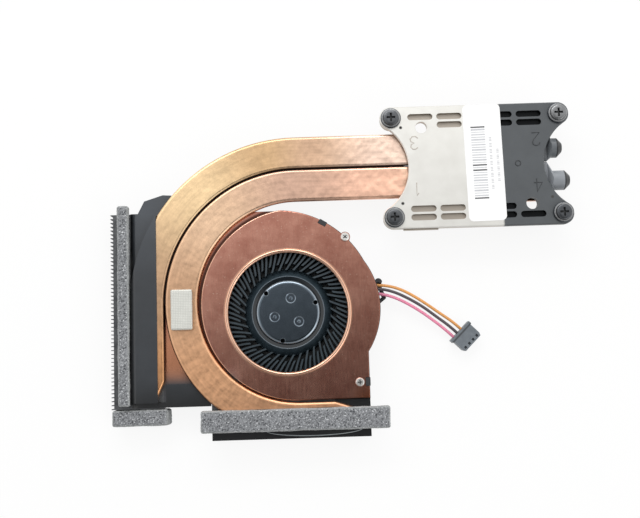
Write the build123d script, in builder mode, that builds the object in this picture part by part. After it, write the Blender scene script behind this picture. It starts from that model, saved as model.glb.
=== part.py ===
from build123d import *
import os
from math import cos, degrees, floor, hypot, pi, radians, sin, tan

os.makedirs("parts", exist_ok=True)

# Driving dimensions, in millimetres. The fan turns about Z through the origin, and Z = 0 is the table.

# Fan housing
HOUSING_RIGHT = 28.6
SCROLL_START_Y = -15.0
SCROLL_WIDEST_X = 33.4
SCROLL_SHOULDER = (28.0, 17.9)
SCROLL_CREST = (17.4, 30.3)
SCROLL_END_X = -2.3
FLOOR_T = 1.0
WALL_T = 1.0
SHEET_T = 0.5
HOUSING_H = 8.6

# Fan cover
INLET_R = 21.6
LIP_R = 0.7
LIP_RISE = 0.45
ISLAND_TO_PIPE = 1.225
HOUSING_TOP_TO_PIPE = 3.025
HOUSING_REAR_TO_PIPE = 0.625
ISLAND_EDGE_R = 0.45
SCROLL_SCREW = (21.4, 26.6)
REAR_SCREW_INSET = (3.6, 5.8)
COVER_SCREW_HEAD_R = 1.6
COVER_SCREW_HEAD_H = 0.8
COVER_SCREW_EDGE_R = 0.36
COVER_CROSS_L = 1.9
COVER_CROSS_W = 0.4
COVER_SCREW_R = 0.8
COVER_SCREW_L = 4.0
COVER_SCREW_BITE = 0.02
BOSS_R = 1.3
EAR_R = 1.9
SCROLL_TAB = (13.4, 32.1, -31.0)
REAR_TAB_INSET = (0.65, 5.9)
SNAP_TAB_L = 2.9
SNAP_TAB_W = 1.7
FIT = 0.1

# Cable hook on the side of the base
HOOK_POST = (33.3, 10.3)
HOOK_POST_R = 1.4
HOOK_POST_H = 4.6
HOOK_ELBOW = (35.4, 4.6)
HOOK_FOOT = (32.6, 2.4)
HOOK_ARM_W = 1.4
HOOK_ARM_H = 2.4
CABLE_SLOT_Y = (5.4, 10.2)
CABLE_SLOT_Z = (1.6, 6.0)

# Impeller and rotor
BLADE_COUNT = 37
BLADE_T = 0.75
BLADE_TIP_R = 26.6
BLADE_ROOT_R = 15.4
SPLITTER_ROOT_R = 17.6
BLADE_SWEEP = 13.5
BLADE_MID = 0.4
BLADE_TO_LIP = 0.55
IMPELLER_BOTTOM = 2.0
IMPELLER_WEB_T = 0.7
SKIRT_R = 15.9
SKIRT_TOP = 6.2
SKIRT_T = 0.8
SKIRT_DRAFT = 0.4
HUB_R = 13.1
HUB_TOP = 9.3
HUB_DIP = 0.4
HUB_LIP_T = 0.4
HUB_LIP_H = 1.1
YOKE_R = 11.8
YOKE_T = 0.6
YOKE_TOP = 10.0
YOKE_BOTTOM = 2.4
YOKE_EDGE_R = 1.5
YOKE_SKIN = 0.25
YOKE_COLLAR_R = 1.6
YOKE_COLLAR_H = 1.2
YOKE_HOLE_R = 0.8
YOKE_HOLE_CIRCLE_R = 10.5
YOKE_HOLE_TURN = 18.0
STAKE_R = 1.9
STAKE_DOME_R = 0.75
STAKE_DEPTH = 0.3
STAKE_SLOPE = 0.4
STAKE_CIRCLE_R = 5.15
STAKE_TURN = 78.0
MAGNET_T = 1.6
MAGNET_H = 4.2

# Motor
SHAFT_R = 0.75
BEARING_CLEARANCE = 0.03
SLEEVE_R = 2.4
SLEEVE_L = 4.6
TUBE_R = 3.2
TUBE_TOP = 6.4
TUBE_FLOOR_T = 0.4
THRUST_T = 0.3
COLLAR_R = 4.6
COLLAR_H = 1.2
AIR_GAP = 0.4
POLE_COUNT = 6
POLE_NECK_W = 1.8
POLE_SHOE_T = 1.1
STATOR_RING_R = 4.9
STATOR_T = 2.4
STATOR_BOTTOM = 3.0
COIL_T = 0.7
COIL_RING_GAP = 0.25
COIL_SHOE_GAP = 0.15
BOARD_R = 9.6
BOARD_T = 0.6
BOARD_TAIL_W = 5.6

# Heat pipes
PIPE_W = 11.95
PIPE_T = 2.3
PIPE_GAP = 0.15
BEND_X = 3.7
BEND_Y = 4.0
INNER_BEND_R = 42.2
OUTER_PIPE_TAPER_Y = -23.2
OUTER_PIPE_TIP_Y = -30.8
INNER_PIPE_TAPER_X = 16.0
INNER_PIPE_TIP_X = 27.4
TIP_W = 4.6
TIP_T = 1.8
ROUND_END_D = 7.0
ROUND_END_SLACK = 0.2
ROUND_END_SHIFT = -1.05
SWELL_L = 1.6
SWELL_CLEAR = 0.6
OUTER_ROUND_L = 2.15
INNER_ROUND_L = 4.45
ROUND_TIP_L = 1.8
ROUND_TIP_D = 3.4

# Fin stacks
FIN_PITCH = 1.4
FIN_T = 0.3
FIN_BARE = 0.95
FLANGE_T = 0.4
LEFT_STACK_Y = -33.1
LEFT_STACK_L = 70.7
LEFT_STACK_DEPTH = 18.8
LEFT_STACK_LAP = 5.1
REAR_STACK_L = 56.9
REAR_STACK_DEPTH = 13.5

# Films, foams, gasket and label
FILM_T = 0.2
FILM_GAP = 0.05
FILM_FOOT = 0.3
FILM_EDGE = 3.4
FILM_FLAP = [(-3.6, -20.6), (-1.2, -16.0), (5.6, -13.9), (8.8, -14.1)]
FILM_CORNER_L = 17.05
FILM_CORNER_Y = -24.6
REAR_FILM_LAP = 3.9
LEFT_FOAM_W = 4.6
LEFT_FOAM_H = 4.0
LEFT_FOAM_Y = (-32.2, 40.6)
END_FOAM_LAPS = (0.1, 1.8)
END_FOAM_Z = (0.6, 9.6)
END_FOAM_T = 6.3
REAR_FOAM_LAPS = (3.7, 6.8)
REAR_FOAM_W = 8.2
REAR_FOAM_SHIFT = 0.1
REAR_FOAM_H = 4.0
FOAM_EDGE_R = 0.4
GASKET_W = 7.9
GASKET_L = 14.7
GASKET_SHIFT = (0.35, -2.05)
GASKET_T = 2.0
GASKET_EDGE_R = 0.7
LABEL_W = 13.7
LABEL_L = 43.0
LABEL_T = 0.12
LABEL_SHIFT = (2.9, 0.9)
LABEL_TURN = 0.9
LABEL_CORNER_R = 1.8

# Processor plate, its contact block and its captive screws
PLATE_X = 70.0
PLATE_SHIFT_Y = -1.175
SCREW_SPACING_X = 61.0
SCREW_SPACING_Y = 36.6
PLATE_T = 2.5
PLATE_MARGIN_X = 4.0
PLATE_MARGIN_Y = 4.2
PLATE_BOSS_R = 3.9
PLATE_BOSS_DROP = 1.2
NOTCH_R = 18.0
NOTCH_DEPTH = 5.85
NOTCH_CORNER_R = 3.6
UNDERCUT_W = 2.6
UNDERCUT_H = 1.3
PLATE_EDGE_R = 0.35
SLOT_L = 9.2
SLOT_W = 2.3
SLOT_DEPTH = 1.3
SLOT_COLUMNS = [-19.8, -9.2, 9.2, 19.8]
SLOT_ROWS = [-18.5, -15.4, 15.4, 18.5]
PLATE_HOLE_R = 2.15
PLATE_HOLE_AT = (-19.5, 14.6)
LEDGE_L = 12.6
LEDGE_W = 0.5
LEDGE_T = 1.4
LEDGE_X = -21.0
BLOCK_L = 45.0
BLOCK_W = 26.0
BLOCK_T = 2.0
SCREW_R = 1.25
SCREW_NECK_R = 1.0
SCREW_CLEARANCE = 0.1
SCREW_FLANGE_R = 3.7
SCREW_FLANGE_T = 0.7
SCREW_FLANGE_EDGE_R = 0.28
SCREW_HEAD_R = 2.8
SCREW_HEAD_H = 1.0
SCREW_HEAD_EDGE_R = 0.4
SCREW_FLOAT = 0.1
SCREW_TIP_Z = 3.4
SCREW_TIP_CHAMFER = 0.4
THREAD_GAP = 0.2
CROSS_L = 3.0
CROSS_W = 0.7
CROSS_DEPTH = 0.8
CLIP_R = 2.3
CLIP_T = 0.6
CLIP_GAP = 0.3

# Wires and connector
WIRE_D = 1.1
WIRE_LEAD = 3.6
WIRE_ARC_SHARE = 0.45
CONNECTOR_AT = (62.5, -8.55)
CONNECTOR_TURN = 45.0
CONNECTOR_PITCH = 2.0
CONNECTOR_WAYS = 4
CONNECTOR_FLANGE_W = 9.8
CONNECTOR_FLANGE_T = 1.2
CONNECTOR_W = 8.8
CONNECTOR_L = 6.6
CONNECTOR_H = 4.5
CONNECTOR_NOSE = 1.0
CAVITY = 1.4
CONTACT_W = 0.9
CONTACT_L = 5.2
WINDOW = 0.9

# Worked out from the sizes above
COVER_LEVEL = HOUSING_H - SHEET_T
PIPE_Z = HOUSING_H + PIPE_T / 2
PIPE_TOP = HOUSING_H + PIPE_T
ISLAND_TOP = PIPE_TOP
OUTER_BEND_R = INNER_BEND_R + PIPE_W + PIPE_GAP
INNER_RUN_Y = BEND_Y + INNER_BEND_R
OUTER_RUN_Y = BEND_Y + OUTER_BEND_R
OUTER_DOWN_X = BEND_X - OUTER_BEND_R
TAIL_Y = BEND_Y - INNER_BEND_R
ISLAND_R = INNER_BEND_R - PIPE_W / 2 - ISLAND_TO_PIPE
HOUSING_TOP = INNER_RUN_Y - PIPE_W / 2 - HOUSING_TOP_TO_PIPE
HOUSING_REAR = TAIL_Y + PIPE_W / 2 + HOUSING_REAR_TO_PIPE
HOUSING_LEFT = OUTER_DOWN_X + LEFT_STACK_LAP
COVER_SCREWS = [SCROLL_SCREW, (HOUSING_RIGHT - REAR_SCREW_INSET[0], HOUSING_REAR + REAR_SCREW_INSET[1])]
REAR_TAB = (HOUSING_RIGHT - REAR_TAB_INSET[0], HOUSING_REAR + REAR_TAB_INSET[1], 90.0)
SNAP_TABS = [SCROLL_TAB, REAR_TAB]
BLADE_TOP = ISLAND_TOP + LIP_RISE - 2 * LIP_R - BLADE_TO_LIP
PLATE_Y = (INNER_RUN_Y + OUTER_RUN_Y) / 2 + PLATE_SHIFT_Y
PLATE_TOP = PIPE_TOP + PLATE_T
SCREW_HALF_X = SCREW_SPACING_X / 2
SCREW_HALF_Y = SCREW_SPACING_Y / 2
NOTCH_X = SCREW_HALF_X - NOTCH_DEPTH + NOTCH_R
ROUND_END_OFF = max(abs(y + ROUND_END_SHIFT - PLATE_Y) for y in (INNER_RUN_Y, OUTER_RUN_Y))
NOTCH_AT_PIPE_X = PLATE_X + NOTCH_X - (NOTCH_R**2 - ROUND_END_OFF**2) ** 0.5
FLAT_END_X = NOTCH_AT_PIPE_X + SWELL_CLEAR
YOKE_IN_R = YOKE_R - YOKE_T
STATOR_R = YOKE_IN_R - MAGNET_T - AIR_GAP


def polar(radius, angle):
    """Point at a radius and an angle in degrees about the fan's axis."""
    return (radius * cos(radians(angle)), radius * sin(radians(angle)))


def scroll_side():
    """Right side of the housing in plan, from its rear corner round the scroll to the pipes."""
    side = Line((HOUSING_RIGHT, HOUSING_REAR), (HOUSING_RIGHT, SCROLL_START_Y))
    ThreePointArc(side @ 1, (SCROLL_WIDEST_X, 0), SCROLL_SHOULDER)
    ThreePointArc(SCROLL_SHOULDER, SCROLL_CREST, (SCROLL_END_X, HOUSING_TOP))


# Outline of the fan housing, with an ear under the screw that stands on its edge
with BuildSketch() as housing:
    with BuildLine():
        scroll_side()
        Polyline(
            (SCROLL_END_X, HOUSING_TOP),
            (HOUSING_LEFT, HOUSING_TOP),
            (HOUSING_LEFT, HOUSING_REAR),
            (HOUSING_RIGHT, HOUSING_REAR),
        )
    make_face()
    with Locations(COVER_SCREWS[0]):
        Circle(EAR_R)

# Outline of the cover's raised island: the housing's right side, and an arc inside the pipes on its left
with BuildSketch() as island:
    with BuildLine():
        scroll_side()
        ThreePointArc(
            (SCROLL_END_X, HOUSING_TOP),
            (BEND_X - ISLAND_R, BEND_Y),
            (BEND_X, HOUSING_REAR),
        )
        Line((BEND_X, HOUSING_REAR), (HOUSING_RIGHT, HOUSING_REAR))
    make_face()

# Fan base: a moulded tray with a scroll wall that is open to both fin stacks
with BuildPart() as fan_base:
    with BuildSketch():
        add(housing.sketch)
    extrude(amount=FLOOR_T)
    with BuildSketch(Plane.XY.offset(FLOOR_T)):
        add(housing.sketch)
        offset(housing.sketch, amount=-WALL_T, mode=Mode.SUBTRACT)
    extrude(amount=COVER_LEVEL - FLOOR_T)
    # Outlet to the rear stack, and outlet to the left stack
    with Locations((HOUSING_RIGHT - WALL_T, HOUSING_REAR, FLOOR_T)):
        Box(
            REAR_STACK_L - 2 * WALL_T,
            4 * WALL_T,
            HOUSING_H,
            align=(Align.MAX, Align.CENTER, Align.MIN),
            mode=Mode.SUBTRACT,
        )
    with Locations((HOUSING_LEFT, (HOUSING_REAR + HOUSING_TOP) / 2, FLOOR_T)):
        Box(
            4 * WALL_T,
            HOUSING_TOP - HOUSING_REAR - 2 * WALL_T,
            HOUSING_H,
            align=(Align.CENTER, Align.CENTER, Align.MIN),
            mode=Mode.SUBTRACT,
        )
    # Collar for the bearing tube
    with Locations((0, 0, FLOOR_T)):
        Cylinder(COLLAR_R, COLLAR_H, align=(Align.CENTER, Align.CENTER, Align.MIN))
    with Locations((0, 0, 0)):
        Hole(TUBE_R, depth=2 * (FLOOR_T + COLLAR_H))
    # Bosses for the cover screws
    with BuildSketch(Plane.XY.offset(FLOOR_T)):
        with Locations(*COVER_SCREWS):
            Circle(BOSS_R)
    extrude(amount=ISLAND_TOP - SHEET_T - FLOOR_T)
    with Locations(*[(x, y, ISLAND_TOP) for x, y in COVER_SCREWS]):
        Hole(COVER_SCREW_R + COVER_SCREW_BITE, depth=COVER_SCREW_L + SHEET_T)
    # Snap tabs that stand in the cover's edge notches
    for tab_x, tab_y, tab_turn in SNAP_TABS:
        with Locations(Location((tab_x, tab_y, FLOOR_T), (0, 0, tab_turn))):
            Box(
                SNAP_TAB_L,
                SNAP_TAB_W,
                ISLAND_TOP - FIT - FLOOR_T,
                align=(Align.CENTER, Align.CENTER, Align.MIN),
            )
    # Cable hook and the slot that lets the wires out beside it
    with Locations((*HOOK_POST, 0)):
        Cylinder(HOOK_POST_R, HOOK_POST_H, align=(Align.CENTER, Align.CENTER, Align.MIN))
    with BuildSketch():
        with BuildLine():
            Polyline(HOOK_POST, HOOK_ELBOW, HOOK_FOOT)
            offset(amount=HOOK_ARM_W / 2, side=Side.BOTH)
        make_face()
    extrude(amount=HOOK_ARM_H)
    with Locations((SCROLL_WIDEST_X, sum(CABLE_SLOT_Y) / 2, sum(CABLE_SLOT_Z) / 2)):
        Box(
            6 * WALL_T,
            CABLE_SLOT_Y[1] - CABLE_SLOT_Y[0],
            CABLE_SLOT_Z[1] - CABLE_SLOT_Z[0],
            mode=Mode.SUBTRACT,
        )
fan_base.part.label = "fan_base"
export_step(fan_base.part, "parts/fan_base.step")

# Fan cover: one stamped copper sheet, with a raised island and a rolled lip round the inlet
with BuildPart() as fan_cover:
    with BuildSketch(Plane.XY.offset(COVER_LEVEL)):
        add(housing.sketch)
    extrude(amount=SHEET_T)
    with BuildSketch(Plane.XY.offset(COVER_LEVEL)):
        add(island.sketch)
    extrude(amount=ISLAND_TOP - COVER_LEVEL)
    fillet(fan_cover.edges().group_by(Axis.Z)[-1], radius=ISLAND_EDGE_R)
    with BuildSketch(Plane.XY.offset(COVER_LEVEL)):
        offset(island.sketch, amount=-SHEET_T)
    extrude(amount=ISLAND_TOP - SHEET_T - COVER_LEVEL, mode=Mode.SUBTRACT)
    # Ear round the screw that stands on the edge
    with BuildSketch(Plane.XY.offset(COVER_LEVEL)):
        with Locations(COVER_SCREWS[0]):
            Circle(EAR_R)
    extrude(amount=ISLAND_TOP - COVER_LEVEL)
    with BuildSketch(Plane.XY.offset(COVER_LEVEL)):
        with Locations(COVER_SCREWS[0]):
            Circle(EAR_R - SHEET_T)
    extrude(amount=ISLAND_TOP - SHEET_T - COVER_LEVEL, mode=Mode.SUBTRACT)
    with Locations((0, 0, ISLAND_TOP + LIP_RISE - LIP_R)):
        Torus(INLET_R + LIP_R, LIP_R)
    with BuildSketch(Plane.XY.offset(COVER_LEVEL)):
        Circle(INLET_R)
    extrude(amount=ISLAND_TOP + LIP_RISE - COVER_LEVEL, mode=Mode.SUBTRACT)
    with BuildSketch(Plane.XY.offset(COVER_LEVEL)):
        for tab_x, tab_y, tab_turn in SNAP_TABS:
            with Locations(Location((tab_x, tab_y), tab_turn)):
                Rectangle(SNAP_TAB_L + 2 * FIT, SNAP_TAB_W + 2 * FIT)
        with Locations(*COVER_SCREWS):
            Circle(COVER_SCREW_R + FIT)
    extrude(amount=ISLAND_TOP - COVER_LEVEL, mode=Mode.SUBTRACT)
fan_cover.part.label = "fan_cover"
export_step(fan_cover.part, "parts/fan_cover.step")


# Cover screws: two small pan-head screws, alike
with BuildPart() as cover_screws:
    with BuildSketch(Plane.XY.offset(ISLAND_TOP)):
        with Locations(*COVER_SCREWS):
            Circle(COVER_SCREW_HEAD_R)
    extrude(amount=COVER_SCREW_HEAD_H)
    fillet(cover_screws.edges().group_by(Axis.Z)[-1], radius=COVER_SCREW_EDGE_R)
    with BuildSketch(Plane.XY.offset(ISLAND_TOP)):
        with Locations(*COVER_SCREWS):
            Circle(COVER_SCREW_R)
    extrude(amount=-COVER_SCREW_L)
    with BuildSketch(Plane.XY.offset(ISLAND_TOP + COVER_SCREW_HEAD_H)):
        with Locations(*COVER_SCREWS):
            Rectangle(COVER_CROSS_L, COVER_CROSS_W)
            Rectangle(COVER_CROSS_W, COVER_CROSS_L)
    extrude(amount=-COVER_SCREW_HEAD_H / 2, mode=Mode.SUBTRACT)
cover_screws.part.label = "cover_screws"
export_step(cover_screws.part, "parts/cover_screws.step")


def blade_outline(root_r, start_angle):
    """One curved blade in plan, from a root radius to the tip, hooked at its root and radial at its tip."""
    mid_r = root_r + BLADE_MID * (BLADE_TIP_R - root_r)
    share = (BLADE_TIP_R - root_r) / (BLADE_TIP_R - BLADE_ROOT_R)
    sweep_angle = BLADE_SWEEP * share**2
    line = [
        (root_r, start_angle + sweep_angle),
        (mid_r, start_angle + sweep_angle * (1 - BLADE_MID) ** 2),
        (BLADE_TIP_R, start_angle),
    ]
    half = [degrees(BLADE_T / 2 / radius) for radius, _ in line]
    front = [polar(radius, angle + turn) for (radius, angle), turn in zip(line, half)]
    back = [polar(radius, angle - turn) for (radius, angle), turn in zip(line, half)]
    with BuildSketch() as outline:
        with BuildLine():
            ThreePointArc(*front)
            Line(front[2], back[2])
            ThreePointArc(*back)
            Line(back[0], front[0])
        make_face()
    return outline.sketch


# Impeller: one moulding of hub ring, conical skirt, web and blades, with a short blade between each long pair
with BuildPart() as impeller:
    with BuildSketch(Plane.XZ):
        with BuildLine():
            Polyline(
                (YOKE_R, YOKE_BOTTOM),
                (YOKE_R, HUB_TOP - HUB_DIP),
                (HUB_R, HUB_TOP),
                (SKIRT_R, SKIRT_TOP),
                (SKIRT_R + SKIRT_DRAFT, IMPELLER_BOTTOM + IMPELLER_WEB_T),
                (BLADE_TIP_R, IMPELLER_BOTTOM + IMPELLER_WEB_T),
                (BLADE_TIP_R, IMPELLER_BOTTOM),
                (SKIRT_R + SKIRT_DRAFT - SKIRT_T, IMPELLER_BOTTOM),
                (SKIRT_R - SKIRT_T, SKIRT_TOP - HUB_DIP),
                (HUB_R - HUB_LIP_T, HUB_TOP - HUB_LIP_H),
                (HUB_R - HUB_LIP_T, YOKE_BOTTOM),
                close=True,
            )
        make_face()
    revolve(axis=Axis.Z)
    with BuildSketch(Plane.XY.offset(IMPELLER_BOTTOM + IMPELLER_WEB_T / 2)):
        with PolarLocations(0, BLADE_COUNT):
            add(blade_outline(BLADE_ROOT_R, 0))
        with PolarLocations(0, BLADE_COUNT, start_angle=180 / BLADE_COUNT):
            add(blade_outline(SPLITTER_ROOT_R, 0))
    extrude(amount=BLADE_TOP - IMPELLER_BOTTOM - IMPELLER_WEB_T / 2)
impeller.part.label = "impeller"
export_step(impeller.part, "parts/impeller.step")

# Rotor yoke: a deep-drawn steel cup, closed on top, with stake marks and edge holes
with BuildPart() as rotor_yoke:
    with Locations((0, 0, YOKE_BOTTOM)):
        Cylinder(YOKE_R, YOKE_TOP - YOKE_BOTTOM, align=(Align.CENTER, Align.CENTER, Align.MIN))
    fillet(rotor_yoke.edges().group_by(Axis.Z)[-1], radius=YOKE_EDGE_R)
    with BuildPart(mode=Mode.SUBTRACT) as cup_room:
        with Locations((0, 0, YOKE_BOTTOM)):
            Cylinder(
                YOKE_IN_R,
                YOKE_TOP - YOKE_T - YOKE_BOTTOM,
                align=(Align.CENTER, Align.CENTER, Align.MIN),
            )
        fillet(cup_room.edges().group_by(Axis.Z)[-1], radius=YOKE_EDGE_R - YOKE_T)
    # Collar drawn down from the face, which holds the shaft under a closed skin
    with BuildSketch(Plane.XY.offset(YOKE_TOP - YOKE_T)):
        Circle(YOKE_COLLAR_R)
    extrude(amount=-YOKE_COLLAR_H)
    with BuildSketch(Plane.XY.offset(YOKE_TOP - YOKE_SKIN)):
        Circle(SHAFT_R)
    extrude(amount=YOKE_SKIN - YOKE_T - YOKE_COLLAR_H, mode=Mode.SUBTRACT)
    # Stake marks: round dishes with sloped walls, each with a small dome left in its middle
    with Locations((0, 0, YOKE_TOP)):
        with PolarLocations(STAKE_CIRCLE_R, 3, start_angle=STAKE_TURN):
            Cone(
                STAKE_R - STAKE_SLOPE,
                STAKE_R,
                STAKE_DEPTH,
                align=(Align.CENTER, Align.CENTER, Align.MAX),
                mode=Mode.SUBTRACT,
            )
            Cone(
                STAKE_DOME_R,
                STAKE_DOME_R - STAKE_SLOPE,
                STAKE_DEPTH,
                align=(Align.CENTER, Align.CENTER, Align.MAX),
            )
    with BuildSketch(Plane.XY.offset(YOKE_TOP)):
        with PolarLocations(YOKE_HOLE_CIRCLE_R, 3, start_angle=YOKE_HOLE_TURN):
            Circle(YOKE_HOLE_R)
    extrude(amount=-YOKE_EDGE_R, mode=Mode.SUBTRACT)
rotor_yoke.part.label = "rotor_yoke"
export_step(rotor_yoke.part, "parts/rotor_yoke.step")

# Rotor magnet: a ring bonded inside the yoke's wall
with BuildPart() as rotor_magnet:
    with BuildSketch(Plane.XY.offset(YOKE_BOTTOM)):
        Circle(YOKE_IN_R)
        Circle(YOKE_IN_R - MAGNET_T, mode=Mode.SUBTRACT)
    extrude(amount=MAGNET_H)
rotor_magnet.part.label = "rotor_magnet"
export_step(rotor_magnet.part, "parts/rotor_magnet.step")

# Bearing tube: a brass cup pressed into the base's collar
with BuildPart() as bearing_tube:
    Cylinder(TUBE_R, TUBE_TOP, align=(Align.CENTER, Align.CENTER, Align.MIN))
    with Locations((0, 0, TUBE_FLOOR_T)):
        Cylinder(
            SLEEVE_R,
            TUBE_TOP,
            align=(Align.CENTER, Align.CENTER, Align.MIN),
            mode=Mode.SUBTRACT,
        )
bearing_tube.part.label = "bearing_tube"
export_step(bearing_tube.part, "parts/bearing_tube.step")

# Thrust washer: the shaft's end runs on it, at the bottom of the tube
with BuildPart() as thrust_washer:
    with Locations((0, 0, TUBE_FLOOR_T)):
        Cylinder(SLEEVE_R, THRUST_T, align=(Align.CENTER, Align.CENTER, Align.MIN))
thrust_washer.part.label = "thrust_washer"
export_step(thrust_washer.part, "parts/thrust_washer.step")

# Bearing sleeve: sintered bronze, pressed into the tube
SLEEVE_TOP = TUBE_TOP - THRUST_T
with BuildPart() as bearing_sleeve:
    with BuildSketch(Plane.XY.offset(SLEEVE_TOP)):
        Circle(SLEEVE_R)
        Circle(SHAFT_R + BEARING_CLEARANCE, mode=Mode.SUBTRACT)
    extrude(amount=-SLEEVE_L)
bearing_sleeve.part.label = "bearing_sleeve"
export_step(bearing_sleeve.part, "parts/bearing_sleeve.step")

# Motor shaft: fixed in the yoke, running in the sleeve
SHAFT_BOTTOM = TUBE_FLOOR_T + THRUST_T + BEARING_CLEARANCE
with BuildPart() as motor_shaft:
    with Locations((0, 0, SHAFT_BOTTOM)):
        Cylinder(
            SHAFT_R,
            YOKE_TOP - YOKE_SKIN - SHAFT_BOTTOM,
            align=(Align.CENTER, Align.CENTER, Align.MIN),
        )
motor_shaft.part.label = "motor_shaft"
export_step(motor_shaft.part, "parts/motor_shaft.step")

# Stator core: stacked laminations with salient poles, on the bearing tube
with BuildPart() as stator_core:
    with BuildSketch(Plane.XY.offset(STATOR_BOTTOM)):
        Circle(STATOR_R)
        Circle(STATOR_R - POLE_SHOE_T, mode=Mode.SUBTRACT)
        with PolarLocations(STATOR_R, POLE_COUNT, start_angle=180 / POLE_COUNT):
            Rectangle(4 * POLE_SHOE_T, POLE_NECK_W, mode=Mode.SUBTRACT)
        with PolarLocations(0, POLE_COUNT):
            Rectangle(STATOR_R - POLE_SHOE_T / 2, POLE_NECK_W, align=(Align.MIN, Align.CENTER))
        Circle(STATOR_RING_R)
        Circle(TUBE_R, mode=Mode.SUBTRACT)
    extrude(amount=STATOR_T)
stator_core.part.label = "stator_core"
export_step(stator_core.part, "parts/stator_core.step")

# Stator coils: one winding round each pole's neck, alike
COIL_IN_R = STATOR_RING_R + COIL_RING_GAP
COIL_OUT_R = STATOR_R - POLE_SHOE_T - COIL_SHOE_GAP
with BuildPart() as stator_coils:
    with PolarLocations(0, POLE_COUNT):
        with Locations(((COIL_IN_R + COIL_OUT_R) / 2, 0, STATOR_BOTTOM + STATOR_T / 2)):
            Box(COIL_OUT_R - COIL_IN_R, POLE_NECK_W + 2 * COIL_T, STATOR_T + 2 * COIL_T)
            Box(COIL_OUT_R - COIL_IN_R, POLE_NECK_W, STATOR_T, mode=Mode.SUBTRACT)
stator_coils.part.label = "stator_coils"
export_step(stator_coils.part, "parts/stator_coils.step")

# Motor board: a ring on the base's floor, with a flat tail to the cable slot
BOARD_TAIL_END = SCROLL_WIDEST_X - 3 * WALL_T
BOARD_TAIL_Y = sum(CABLE_SLOT_Y) / 2
with BuildPart() as motor_board:
    with BuildSketch(Plane.XY.offset(FLOOR_T)):
        Circle(BOARD_R)
        with Locations((0, BOARD_TAIL_Y)):
            Rectangle(BOARD_TAIL_END, BOARD_TAIL_W, align=(Align.MIN, Align.CENTER))
        Circle(COLLAR_R + FIT, mode=Mode.SUBTRACT)
    extrude(amount=BOARD_T)
motor_board.part.label = "motor_board"
export_step(motor_board.part, "parts/motor_board.step")


def slot_section(origin, along, width, thickness):
    """A flat section with round edges, standing across a direction at a point of a pipe's axis."""
    across = Vector(0, 0, 1).cross(Vector(*along))
    with BuildSketch(Plane(origin=origin, x_dir=across, z_dir=along)) as section:
        SlotOverall(width, thickness)
    return section.sketch


def round_end(run_y, round_l):
    """The pipe's plate end: it swells from flat to round, a little to one side, and closes in a blunt tip."""
    round_y = run_y + ROUND_END_SHIFT
    sizes = [
        (0, run_y, PIPE_W, PIPE_T),
        (SWELL_L, round_y, ROUND_END_D + ROUND_END_SLACK, ROUND_END_D),
        (SWELL_L + round_l, round_y, ROUND_END_D + ROUND_END_SLACK, ROUND_END_D),
        (SWELL_L + round_l + ROUND_TIP_L, round_y, ROUND_TIP_D + ROUND_END_SLACK, ROUND_TIP_D),
    ]
    sections = [
        slot_section((FLAT_END_X + x, y, PIPE_Z), (1, 0, 0), width, thickness)
        for x, y, width, thickness in sizes
    ]
    for start, end in zip(sections, sections[1:]):
        loft([start, end])


# Outer heat pipe: straight over the plate, a quarter bend, and down over the left stack to a crimped end
with BuildPart() as outer_heat_pipe:
    with BuildLine(Plane.XY.offset(PIPE_Z)):
        Line((FLAT_END_X, OUTER_RUN_Y), (BEND_X, OUTER_RUN_Y))
        CenterArc((BEND_X, BEND_Y), OUTER_BEND_R, 90, 90)
        Line((OUTER_DOWN_X, BEND_Y), (OUTER_DOWN_X, OUTER_PIPE_TAPER_Y))
    sweep(slot_section((FLAT_END_X, OUTER_RUN_Y, PIPE_Z), (-1, 0, 0), PIPE_W, PIPE_T))
    shoulder = slot_section((OUTER_DOWN_X, OUTER_PIPE_TAPER_Y, PIPE_Z), (0, -1, 0), PIPE_W, PIPE_T)
    tip = slot_section((OUTER_DOWN_X, OUTER_PIPE_TIP_Y, PIPE_Z), (0, -1, 0), TIP_W, TIP_T)
    loft([shoulder, tip])
    round_end(OUTER_RUN_Y, OUTER_ROUND_L)
outer_heat_pipe.part.label = "outer_heat_pipe"
export_step(outer_heat_pipe.part, "parts/outer_heat_pipe.step")

# Inner heat pipe: straight over the plate, half a turn round the fan, and a crimped tail over the rear stack
with BuildPart() as inner_heat_pipe:
    with BuildLine(Plane.XY.offset(PIPE_Z)):
        Line((FLAT_END_X, INNER_RUN_Y), (BEND_X, INNER_RUN_Y))
        CenterArc((BEND_X, BEND_Y), INNER_BEND_R, 90, 180)
        Line((BEND_X, TAIL_Y), (INNER_PIPE_TAPER_X, TAIL_Y))
    sweep(slot_section((FLAT_END_X, INNER_RUN_Y, PIPE_Z), (-1, 0, 0), PIPE_W, PIPE_T))
    shoulder = slot_section((INNER_PIPE_TAPER_X, TAIL_Y, PIPE_Z), (1, 0, 0), PIPE_W, PIPE_T)
    tip = slot_section((INNER_PIPE_TIP_X, TAIL_Y, PIPE_Z), (1, 0, 0), TIP_W, TIP_T)
    loft([shoulder, tip])
    round_end(INNER_RUN_Y, INNER_ROUND_L)
inner_heat_pipe.part.label = "inner_heat_pipe"
export_step(inner_heat_pipe.part, "parts/inner_heat_pipe.step")


def fin_stack(plane, length, depth):
    """Folded fins soldered into one stack along the plane's X, their outer ends bare of the flanges."""
    gaps = floor((length - FIN_T) / FIN_PITCH)
    with BuildPart(plane) as stack:
        with Locations((length / 2, 0, 0)):
            with GridLocations((length - FIN_T) / gaps, 1, gaps + 1, 1):
                Box(FIN_T, depth, HOUSING_H, align=(Align.CENTER, Align.MIN, Align.MIN))
            for flange_z in (0, HOUSING_H - FLANGE_T):
                with Locations((0, 0, flange_z)):
                    Box(
                        length,
                        depth - FIN_BARE,
                        FLANGE_T,
                        align=(Align.CENTER, Align.MIN, Align.MIN),
                    )
    return stack


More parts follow.
